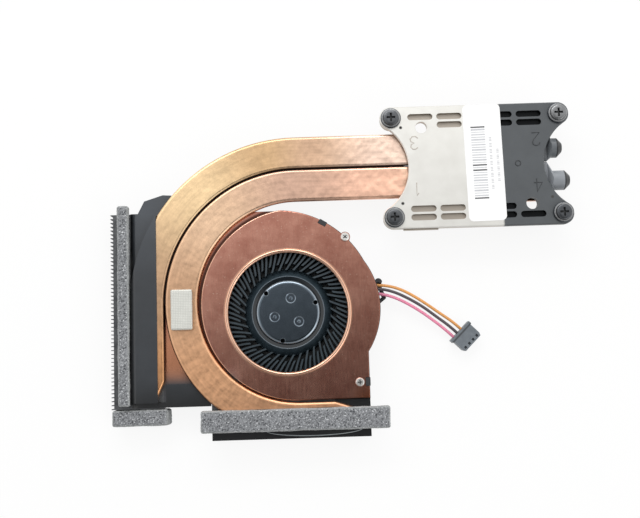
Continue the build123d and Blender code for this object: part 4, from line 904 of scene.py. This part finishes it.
# Foam strips: open-cell polyurethane, cut from sheet and stuck on, so that the case's wall seals the
# outlets. Cut cells give it a rough skin of pale ribs round pits, which are painted dark as shade.
def soft_block(node, edge_r, spacing, sink):
    """A closed skin of small faces in a CAD bar's space, its edges eased, each point moved in by sink.

    Returns the mesh and where each point lay before, both in millimetres."""
    low, high = [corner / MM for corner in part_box(node)]
    size = high - low
    counts = [max(2, round(length / spacing)) for length in size]
    mesh = bmesh.new()
    for axis in range(3):
        u, v = (axis + 1) % 3, (axis + 2) % 3
        for end in (low, high):
            rows = []
            for i in range(counts[u] + 1):
                row = []
                for j in range(counts[v] + 1):
                    point = low.copy()
                    point[axis] = end[axis]
                    point[u] += size[u] * i / counts[u]
                    point[v] += size[v] * j / counts[v]
                    row.append(mesh.verts.new(point))
                rows.append(row)
            for before, after in zip(rows, rows[1:]):
                for k in range(counts[v]):
                    corners = [before[k], after[k], after[k + 1], before[k + 1]]
                    mesh.faces.new(corners if end is high else corners[::-1])
    bmesh.ops.remove_doubles(mesh, verts=mesh.verts, dist=spacing / 10)
    before = [vert.co.copy() for vert in mesh.verts]
    for vert, point in zip(mesh.verts, before):
        inner = Vector([min(max(c, a + edge_r), b - edge_r) for c, a, b in zip(point, low, high)])
        outward = (point - inner).normalized()
        vert.co = inner + outward * (edge_r - sink(point))
    return mesh, before


FOAM_CELL = 0.75
FOAM_SPECK = 0.55
FOAM_PIT = 0.26
FOAM_RIB = 0.5
FOAM_EDGE = 1.1
FOAM_WAVE = 0.4
FOAM_WAVE_L = 6.0
FOAM_STEP = 0.3
FOAM_PALE = 0.45


def foam_pit(point):
    """How deep a cut cell leaves the foam's skin at a point: not on its ribs, and most in its middle."""
    nearest = noise.voronoi(point / FOAM_CELL)[0]
    return FOAM_PIT * min(1.0, (nearest[1] - nearest[0]) / FOAM_RIB)


def foam_skin(point):
    """How far the foam's skin lies in at a point: a cell's pit, and the slow wave of a hand-cut strip."""
    return foam_pit(point) + FOAM_WAVE * (0.5 + 0.5 * noise.noise(point / FOAM_WAVE_L))


# Polyurethane foam: matt grey, with pale specks painted as glints of torn cell walls
foam, shader, add, place = new_material("polyurethane_foam_grey")
pit_shade = add("Attribute", attribute_name="pit_shade").outputs["Fac"]
pit_shaded = add("Mix", {0: pit_shade, 6: "#929497", 7: "#34363A"})
speck = add("TexNoise", {"Vector": place, "Scale": 1 / (FOAM_SPECK * MM), "Detail": 2})
glint = add("MapRange", {"Value": speck, "From Min": 0.6, "From Max": 0.68, "To Max": 0.95})
colour = add("Mix", {0: glint, 6: pit_shaded, 7: "#D6D8DA"})
# The strips are paler towards their sides
side = add("Attribute", attribute_name="side").outputs["Fac"]
colour = add("Mix", {0: side, 6: colour, 7: "#B9BCBA"})
feed(shader, {"Base Color": colour, "Roughness": 0.85})
for node in ("left_foam_strip", "left_end_foam", "rear_foam_strip"):
    mesh, cut = soft_block(node, FOAM_EDGE, FOAM_STEP, foam_skin)
    strip = add_piece(node + "_cut", mesh, [foam], "frame", smooth_angle=80)
    pits = strip.data.attributes.new("pit_shade", "FLOAT", "POINT")
    pits.data.foreach_set("value", [foam_pit(point) / FOAM_PIT for point in cut])
    low, high = [[length / MM for length in corner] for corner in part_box(node)]
    sides = strip.data.attributes.new("side", "FLOAT", "POINT")
    for spot, point in zip(sides.data, cut):
        reach = min(point.x - low[0], high[0] - point.x, point.y - low[1], high[1] - point.y)
        spot.value = FOAM_PALE * max(0.0, 1.0 - reach / FOAM_EDGE)
    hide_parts(node)

# Fabric gasket: a soft foam core wrapped in metallised polyester cloth and stuck on the inner pipe, which
# it earths to the case. The weave shows as fine silver checks, a little soiled.
GASKET_EDGE = 0.7
GASKET_STEP = 0.25
CLOTH_SLACK = 0.12
CLOTH_WAVE_L = 3.0
CLOTH_SOIL = 3.0
# Real threads are about 0.15 mm apart; 0.6 mm is the finest that shows here.
CLOTH_THREAD = 0.6
# A wave texture of scale 1 repeats after this length
WAVE_REPEAT = 0.314
cloth, shader, add, place = new_material("polyester_cloth_metallised")
lay = {"Vector": place, "Scale": WAVE_REPEAT / (CLOTH_THREAD * MM), "Distortion": 0.6, "Detail": 1}
warp, weft = [add("TexWave", lay, bands_direction=way).outputs["Fac"] for way in "XY"]
weave = add("Math", {0: warp, 1: weft}, operation="MULTIPLY")
soil = add("TexNoise", {"Vector": place, "Scale": 1 / (CLOTH_SOIL * MM), "Detail": 5})
threads = add("Mix", {0: weave, 6: "#BABBB4", 7: "#F1F1EA"})
colour = add("Mix", {0: soil, 6: threads, 7: "#DADAD3"})
bump = add("Bump", {"Height": weave, "Strength": 0.35, "Distance": 0.08 * MM})
feed(shader, {"Base Color": colour, "Metallic": 0.35, "Roughness": 0.5, "Normal": bump})


def cloth_slack(point):
    """How far the cloth dips at a point: a slow wave between its glued edges."""
    return CLOTH_SLACK * (0.5 + 0.5 * noise.noise(point / CLOTH_WAVE_L))


mesh = soft_block("fabric_gasket", GASKET_EDGE, GASKET_STEP, cloth_slack)[0]
gasket = add_piece("fabric_gasket_wrap", mesh, [cloth], "frame", smooth_angle=80)
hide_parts("fabric_gasket")

# Processor plate: a die casting with round notches at both ends and a boss at each screw, nickel plated.
# Its right half and the pipes' ends were sprayed black after soldering, up to a masked line under the
# label.
PLATE_AT = (70.0, 51.075)
PAINT_LINE = 8.9
EJECTOR_MARKS = ((-27.0, 14.7), (-27.3, -13.3), (26.9, -12.5))
EJECTOR_R = 0.7
EJECTOR_FULL_R = 0.4
PAINT_WANDER = 0.6
PAINT_WANDER_L = 1.2
PAINT_BLUR = 0.7
SLOT_SHADE = (0.2, 1.0)
CASTING_CLOUD = 5.0
CASTING_GRAIN = 0.4
plate_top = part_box("cpu_plate")[1].z
# Die casting, plated: silver with a soft grain and slow clouds, and the spray a flat dark grey
casting, shader, add, place = new_material("zinc_die_cast_plated")
split = add("SeparateXYZ", {0: place})
wander = add("TexNoise", {"Vector": place, "Scale": 1 / (PAINT_WANDER_L * MM), "Detail": 3})
edge = add("Math", {0: wander, 1: PAINT_WANDER * MM, 2: split.outputs["X"]}, operation="MULTIPLY_ADD")
paint_x = (PLATE_AT[0] + PAINT_LINE) * MM
painted = add("MapRange", {"Value": edge, "From Min": paint_x, "From Max": paint_x + PAINT_BLUR * MM})
sunk = add(
    "MapRange",
    {
        "Value": split.outputs["Z"],
        "From Min": plate_top - SLOT_SHADE[0] * MM,
        "From Max": plate_top - SLOT_SHADE[1] * MM,
    },
)
cloud = add("TexNoise", {"Vector": place, "Scale": 1 / (CASTING_CLOUD * MM), "Detail": 7})
silver = add("Mix", {0: cloud, 6: "#E2E0DA", 7: "#F1F0EB"})
# Painted shade: all below the plate's top face, the slots and the sides, is darker on both halves
silver_slot_shaded = add("Mix", {0: sunk, 6: silver, 7: "#B3AA9F"})
spray = add("Mix", {0: cloud, 6: "#484B4E", 7: "#55595C"})
shaded = add("Mix", {0: sunk, 6: spray, 7: "#101214"})
colour = add("Mix", {0: painted, 6: silver_slot_shaded, 7: shaded})
for mark_x, mark_y in EJECTOR_MARKS:
    spot = ((PLATE_AT[0] + mark_x) * MM, (PLATE_AT[1] + mark_y) * MM, plate_top)
    away = add("VectorMath", {0: place, 1: spot}, operation="DISTANCE")
    pressed = add(
        "MapRange", {"Value": away, "From Min": EJECTOR_R * MM, "From Max": EJECTOR_FULL_R * MM}
    )
    colour = add("Mix", {0: pressed, 6: colour, 7: "#3C3B3A"})
# Painted shade: in the sprayed half's slots the paint is made metallic and nearly black, so that its gloss
# is gone there
slot_shade_metallic = add("Math", {0: sunk, 1: 0.8}, operation="MULTIPLY")
metallic = add("MapRange", {"Value": painted, "To Min": 1.0, "To Max": slot_shade_metallic})
rough = add("MapRange", {"Value": cloud, "To Min": 0.34, "To Max": 0.48})
grain = add("TexNoise", {"Vector": place, "Scale": 1 / (CASTING_GRAIN * MM), "Detail": 3})
bump = add("Bump", {"Height": grain, "Strength": 0.2, "Distance": 0.03 * MM})
feed(shader, {"Base Color": colour, "Metallic": metallic, "Roughness": rough, "Normal": bump})
finish(casting, "cpu_plate")

# Cast numerals beside the screws give the order in which they are tightened. They stand a little proud of
# the plate as thin ribs, and read from its far side. A plain ring marks the cavity of the mould.
NUMERAL_H = 4.8
RIB_R = 0.26
RIB_RISE = 0.14
RIB_SHADE_CLOUD = 0.8
rib_z = plate_top / MM - RIB_R + RIB_RISE
rib_metal_shaded, shader, add, place = new_material("zinc_die_cast_shaded")
across = add("SeparateXYZ", {0: place}).outputs["X"]
painted = add("MapRange", {"Value": across, "From Min": paint_x, "From Max": paint_x + PAINT_BLUR * MM})
# The ribs are painted darker than the plate, as shade along them, which is how they show at all
cloud = add("TexNoise", {"Vector": place, "Scale": 1 / (RIB_SHADE_CLOUD * MM), "Detail": 4})
silver = add("Mix", {0: cloud, 6: "#A39A90", 7: "#D5CFC6"})
spray = add("Mix", {0: cloud, 6: "#25272A", 7: "#3D4043"})
colour = add("Mix", {0: painted, 6: silver, 7: spray})
feed(shader, {"Base Color": colour, "Roughness": 0.45})
RING_R = 0.2
RING_STEPS = 18
ring_turns = [2 * math.pi * step / RING_STEPS for step in range(RING_STEPS + 1)]
# Each rib's place from the plate's centre, and its stroke in shares of a numeral's height
RIBS = {
    "3": (
        (-22.3, 8.9),
        [
            (-0.27, 0.36), (-0.11, 0.49), (0.1, 0.49), (0.26, 0.34), (0.22, 0.12), (0.0, 0.02),
            (0.24, -0.1), (0.3, -0.28), (0.14, -0.48), (-0.12, -0.49), (-0.3, -0.35),
        ],
    ),
    "1": ((-22.0, -8.2), [(-0.14, 0.3), (0.0, 0.5), (0.0, -0.5)]),
    "2": (
        (22.1, 8.9),
        [
            (-0.28, 0.27), (-0.2, 0.44), (0.0, 0.5), (0.22, 0.42), (0.28, 0.24), (0.18, 0.02),
            (-0.28, -0.5), (0.3, -0.5),
        ],
    ),
    "4": ((22.1, -8.1), [(0.12, -0.5), (0.12, 0.5), (-0.3, -0.2), (0.32, -0.2)]),
    "ring": ((15.1, 0.2), [(RING_R * math.cos(turn), RING_R * math.sin(turn)) for turn in ring_turns]),
}
for name, ((x, y), stroke) in RIBS.items():
    route = [(PLATE_AT[0] + x - u * NUMERAL_H, PLATE_AT[1] + y - v * NUMERAL_H, rib_z) for u, v in stroke]
    rib = round_bar(f"cast_rib_{name}", "POLY", RIB_R, route, roundness=3)
    rib.data.materials.append(rib_metal_shaded)
    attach(rib, "frame")

# Contact block: a slab of copper, soldered under both pipes below the plate. The mill left slanting marks
# on it, which are all that breaks its shine.
MILLING_STEP = 0.8
milled, shader, add, place = new_material("copper_milled")
cuts = add(
    "TexWave",
    {"Vector": place, "Scale": WAVE_REPEAT / (MILLING_STEP * MM), "Distortion": 1.5, "Detail": 2},
    bands_direction="DIAGONAL",
)
colour = add("Mix", {0: cuts.outputs["Fac"], 6: "#C98F6D", 7: "#DDA684"})
bump = add("Bump", {"Height": cuts.outputs["Fac"], "Strength": 0.2, "Distance": 0.02 * MM})
feed(shader, {"Base Color": colour, "Metallic": 1.0, "Roughness": 0.3, "Normal": bump})
finish(milled, "contact_block")

# Label: white coated paper, smooth and nearly matt, stuck across the plate a little askew. It is printed
# with a column of plain bars and two columns of short grey ticks.
PAPER_CLOUD = 0.5
paper, shader, add, place = new_material("paper_coated_white")
colour = mottled(add, place, PAPER_CLOUD, "#F1F1F0", "#FBFBFB", detail=4)
feed(shader, {"Base Color": colour, "Roughness": 0.55})
finish(paper, "label")

LABEL_TURN = 0.9
BAR_LEFT = -4.25
BAR_L = 5.1
BAR_TOP = 13.1
BAR_BOTTOM = -13.1
BAR_COUNT = 29
HEAVY_BARS = (0, 15, 17, 28)
HEAVY_BAR_T = 0.5
BAR_TS = (0.3, 0.55, 0.22, 0.4)
# Each column's place across the label: its first tick and the number of ticks
TICK_COLUMNS = {2.6: (9.0, 36), 5.0: (4.6, 22)}
TICK_STEP = 0.55
TICK_GROUP = 4
TICK_L = 0.9
TICK_T = 0.22
INK_CLOUD = 0.7
INK_RISE = 0.015
# Printing ink: dark on the heavy bars, and pale and patchy where it has faded or worn
INKS = {
    "printing_ink_black": ("#36373B", "#5A5B60"),
    "printing_ink_faded": ("#B4B5BA", "#D3D4D8"),
    "printing_ink_worn": ("#9B9CA2", "#D0D1D5"),
}
strokes = {name: [] for name in INKS}
for bar in range(BAR_COUNT):
    middle = BAR_TOP + (BAR_BOTTOM - BAR_TOP) * bar / (BAR_COUNT - 1)
    heavy = bar in HEAVY_BARS
    thickness = HEAVY_BAR_T if heavy else BAR_TS[bar % len(BAR_TS)]
    name = "printing_ink_black" if heavy else "printing_ink_faded"
    strokes[name].append((BAR_LEFT + BAR_L / 2, middle, BAR_L, thickness))
for column, (first, count) in TICK_COLUMNS.items():
    for tick in range(count):
        if tick % TICK_GROUP != TICK_GROUP - 1:
            strokes["printing_ink_worn"].append((column, first - tick * TICK_STEP, TICK_L, TICK_T))
label_low, label_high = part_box("label")
label_centre = (label_low + label_high) / 2 / MM
for name, (deep, pale) in INKS.items():
    ink, shader, add, place = new_material(name)
    colour = mottled(add, place, INK_CLOUD, deep, pale, detail=5)
    feed(shader, {"Base Color": colour, "Roughness": 0.6})
    mesh = bmesh.new()
    for x, y, length, thickness in strokes[name]:
        block = bmesh.ops.create_cube(mesh, size=1.0)["verts"]
        bmesh.ops.scale(mesh, vec=(length, thickness, 2 * INK_RISE), verts=block)
        bmesh.ops.translate(mesh, vec=(x, y, 0), verts=block)
    bmesh.ops.rotate(mesh, matrix=Matrix.Rotation(math.radians(LABEL_TURN), 3, "Z"), verts=mesh.verts)
    bmesh.ops.translate(mesh, vec=(label_centre.x, label_centre.y, label_high.z / MM), verts=mesh.verts)
    add_piece("label_" + name, mesh, [ink], "frame")

# Captive screws: shouldered screws with a wide flange, turned from steel and finished in black oxide. A
# spring clip on each neck keeps it in the plate.
FLANGE_R = 3.7
FLANGE_T = 0.7
HEAD_R = 2.8
HEAD_H = 1.0
NECK_R = 1.0
THREAD_R = 1.25
THREAD_TOP = 8.6
THREAD_PITCH = 0.45
THREAD_DEPTH = 0.2
TIP_CHAMFER = 0.4
# The cross recess: its length across, its width and its depth
CAPTIVE_CROSS = (3.2, 0.75, 0.85)
RUBBED_PATCH = 0.6
HEAD_BLUR = 0.1
RIM_BLACK = 0.2
RIM_WORN = 0.35
# How far each head's face is rubbed grey; the second head's paler face is painted light
HEAD_WEAR_AND_LIGHT = {1: 0.3, 2: 0.75, 3: 0.25, 4: 0.2}
CLIP_CLOUD = 1.0
# Spring steel: grey and half glossy, a little cloudy
spring_steel, shader, add, place = new_material("spring_steel")
cloud = add("TexNoise", {"Vector": place, "Scale": 1 / (CLIP_CLOUD * MM), "Detail": 5})
rough = add("MapRange", {"Value": cloud, "To Min": 0.25, "To Max": 0.45})
feed(shader, {"Base Color": "#A8AAAB", "Metallic": 1.0, "Roughness": rough})
for number in range(1, 5):
    node = f"captive_screw_{number}"
    low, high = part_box(node)
    axis = (low + high) / 2
    tip = low.z / MM
    top = high.z / MM
    flange_foot = top - HEAD_H - FLANGE_T
    outline = [(THREAD_R - TIP_CHAMFER, tip)]
    for turn in range(int((THREAD_TOP - tip - TIP_CHAMFER) / THREAD_PITCH)):
        crest = tip + TIP_CHAMFER + turn * THREAD_PITCH
        outline += [(THREAD_R, crest), (THREAD_R - THREAD_DEPTH, crest + THREAD_PITCH / 2)]
    outline += [
        (THREAD_R, THREAD_TOP),
        (NECK_R, THREAD_TOP),
        (NECK_R, flange_foot),
        (FLANGE_R - 0.1, flange_foot),
        (FLANGE_R, flange_foot + 0.1),
        (FLANGE_R, flange_foot + FLANGE_T - 0.28),
        (FLANGE_R - 0.1, flange_foot + FLANGE_T - 0.08),
        (FLANGE_R - 0.28, flange_foot + FLANGE_T),
        (HEAD_R + 0.12, flange_foot + FLANGE_T),
        (HEAD_R, flange_foot + FLANGE_T - 0.15),
        (HEAD_R, top - 0.4),
        (HEAD_R - 0.12, top - 0.14),
        (HEAD_R - 0.4, top),
    ]
    # Black oxide on turned steel: handling has rubbed the flange's face grey, and the heads more or less,
    # the second head's much more as painted light
    oxide, shader, add, place = new_material(f"steel_black_oxide_{number}")
    radius = from_axis(add, place)[1]
    past_head = add(
        "MapRange",
        {
            "Value": radius,
            "From Min": HEAD_R * MM,
            "From Max": (HEAD_R + HEAD_BLUR) * MM,
            "To Min": HEAD_WEAR_AND_LIGHT[number],
        },
    )
    short_of_edge = add(
        "MapRange",
        {
            "Value": radius,
            "From Min": (FLANGE_R - RIM_BLACK) * MM,
            "From Max": (FLANGE_R - RIM_WORN) * MM,
        },
    )
    wear_and_highlight = add("TexNoise", {"Vector": place, "Scale": 1 / (RUBBED_PATCH * MM), "Detail": 5})
    share = add("Math", {0: past_head, 1: short_of_edge}, operation="MULTIPLY")
    grey = add("Mix", {0: wear_and_highlight, 6: "#77787A", 7: "#A9AAAA"})
    colour = add("Mix", {0: share, 6: "#363A40", 7: grey})
    rough = add("MapRange", {"Value": wear_and_highlight, "To Min": 0.22, "To Max": 0.4})
    feed(shader, {"Base Color": colour, "Metallic": 0.8, "Roughness": rough})
    mesh = turned_screw(outline, *CAPTIVE_CROSS)
    screw = add_piece(node + "_turned", mesh, [oxide, recess_grease_and_shade], f"screw_{number}")
    screw.location = (axis.x, axis.y, 0)
    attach(screw, f"screw_{number}")
    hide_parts(node)
    finish(spring_steel, f"screw_clip_{number}")
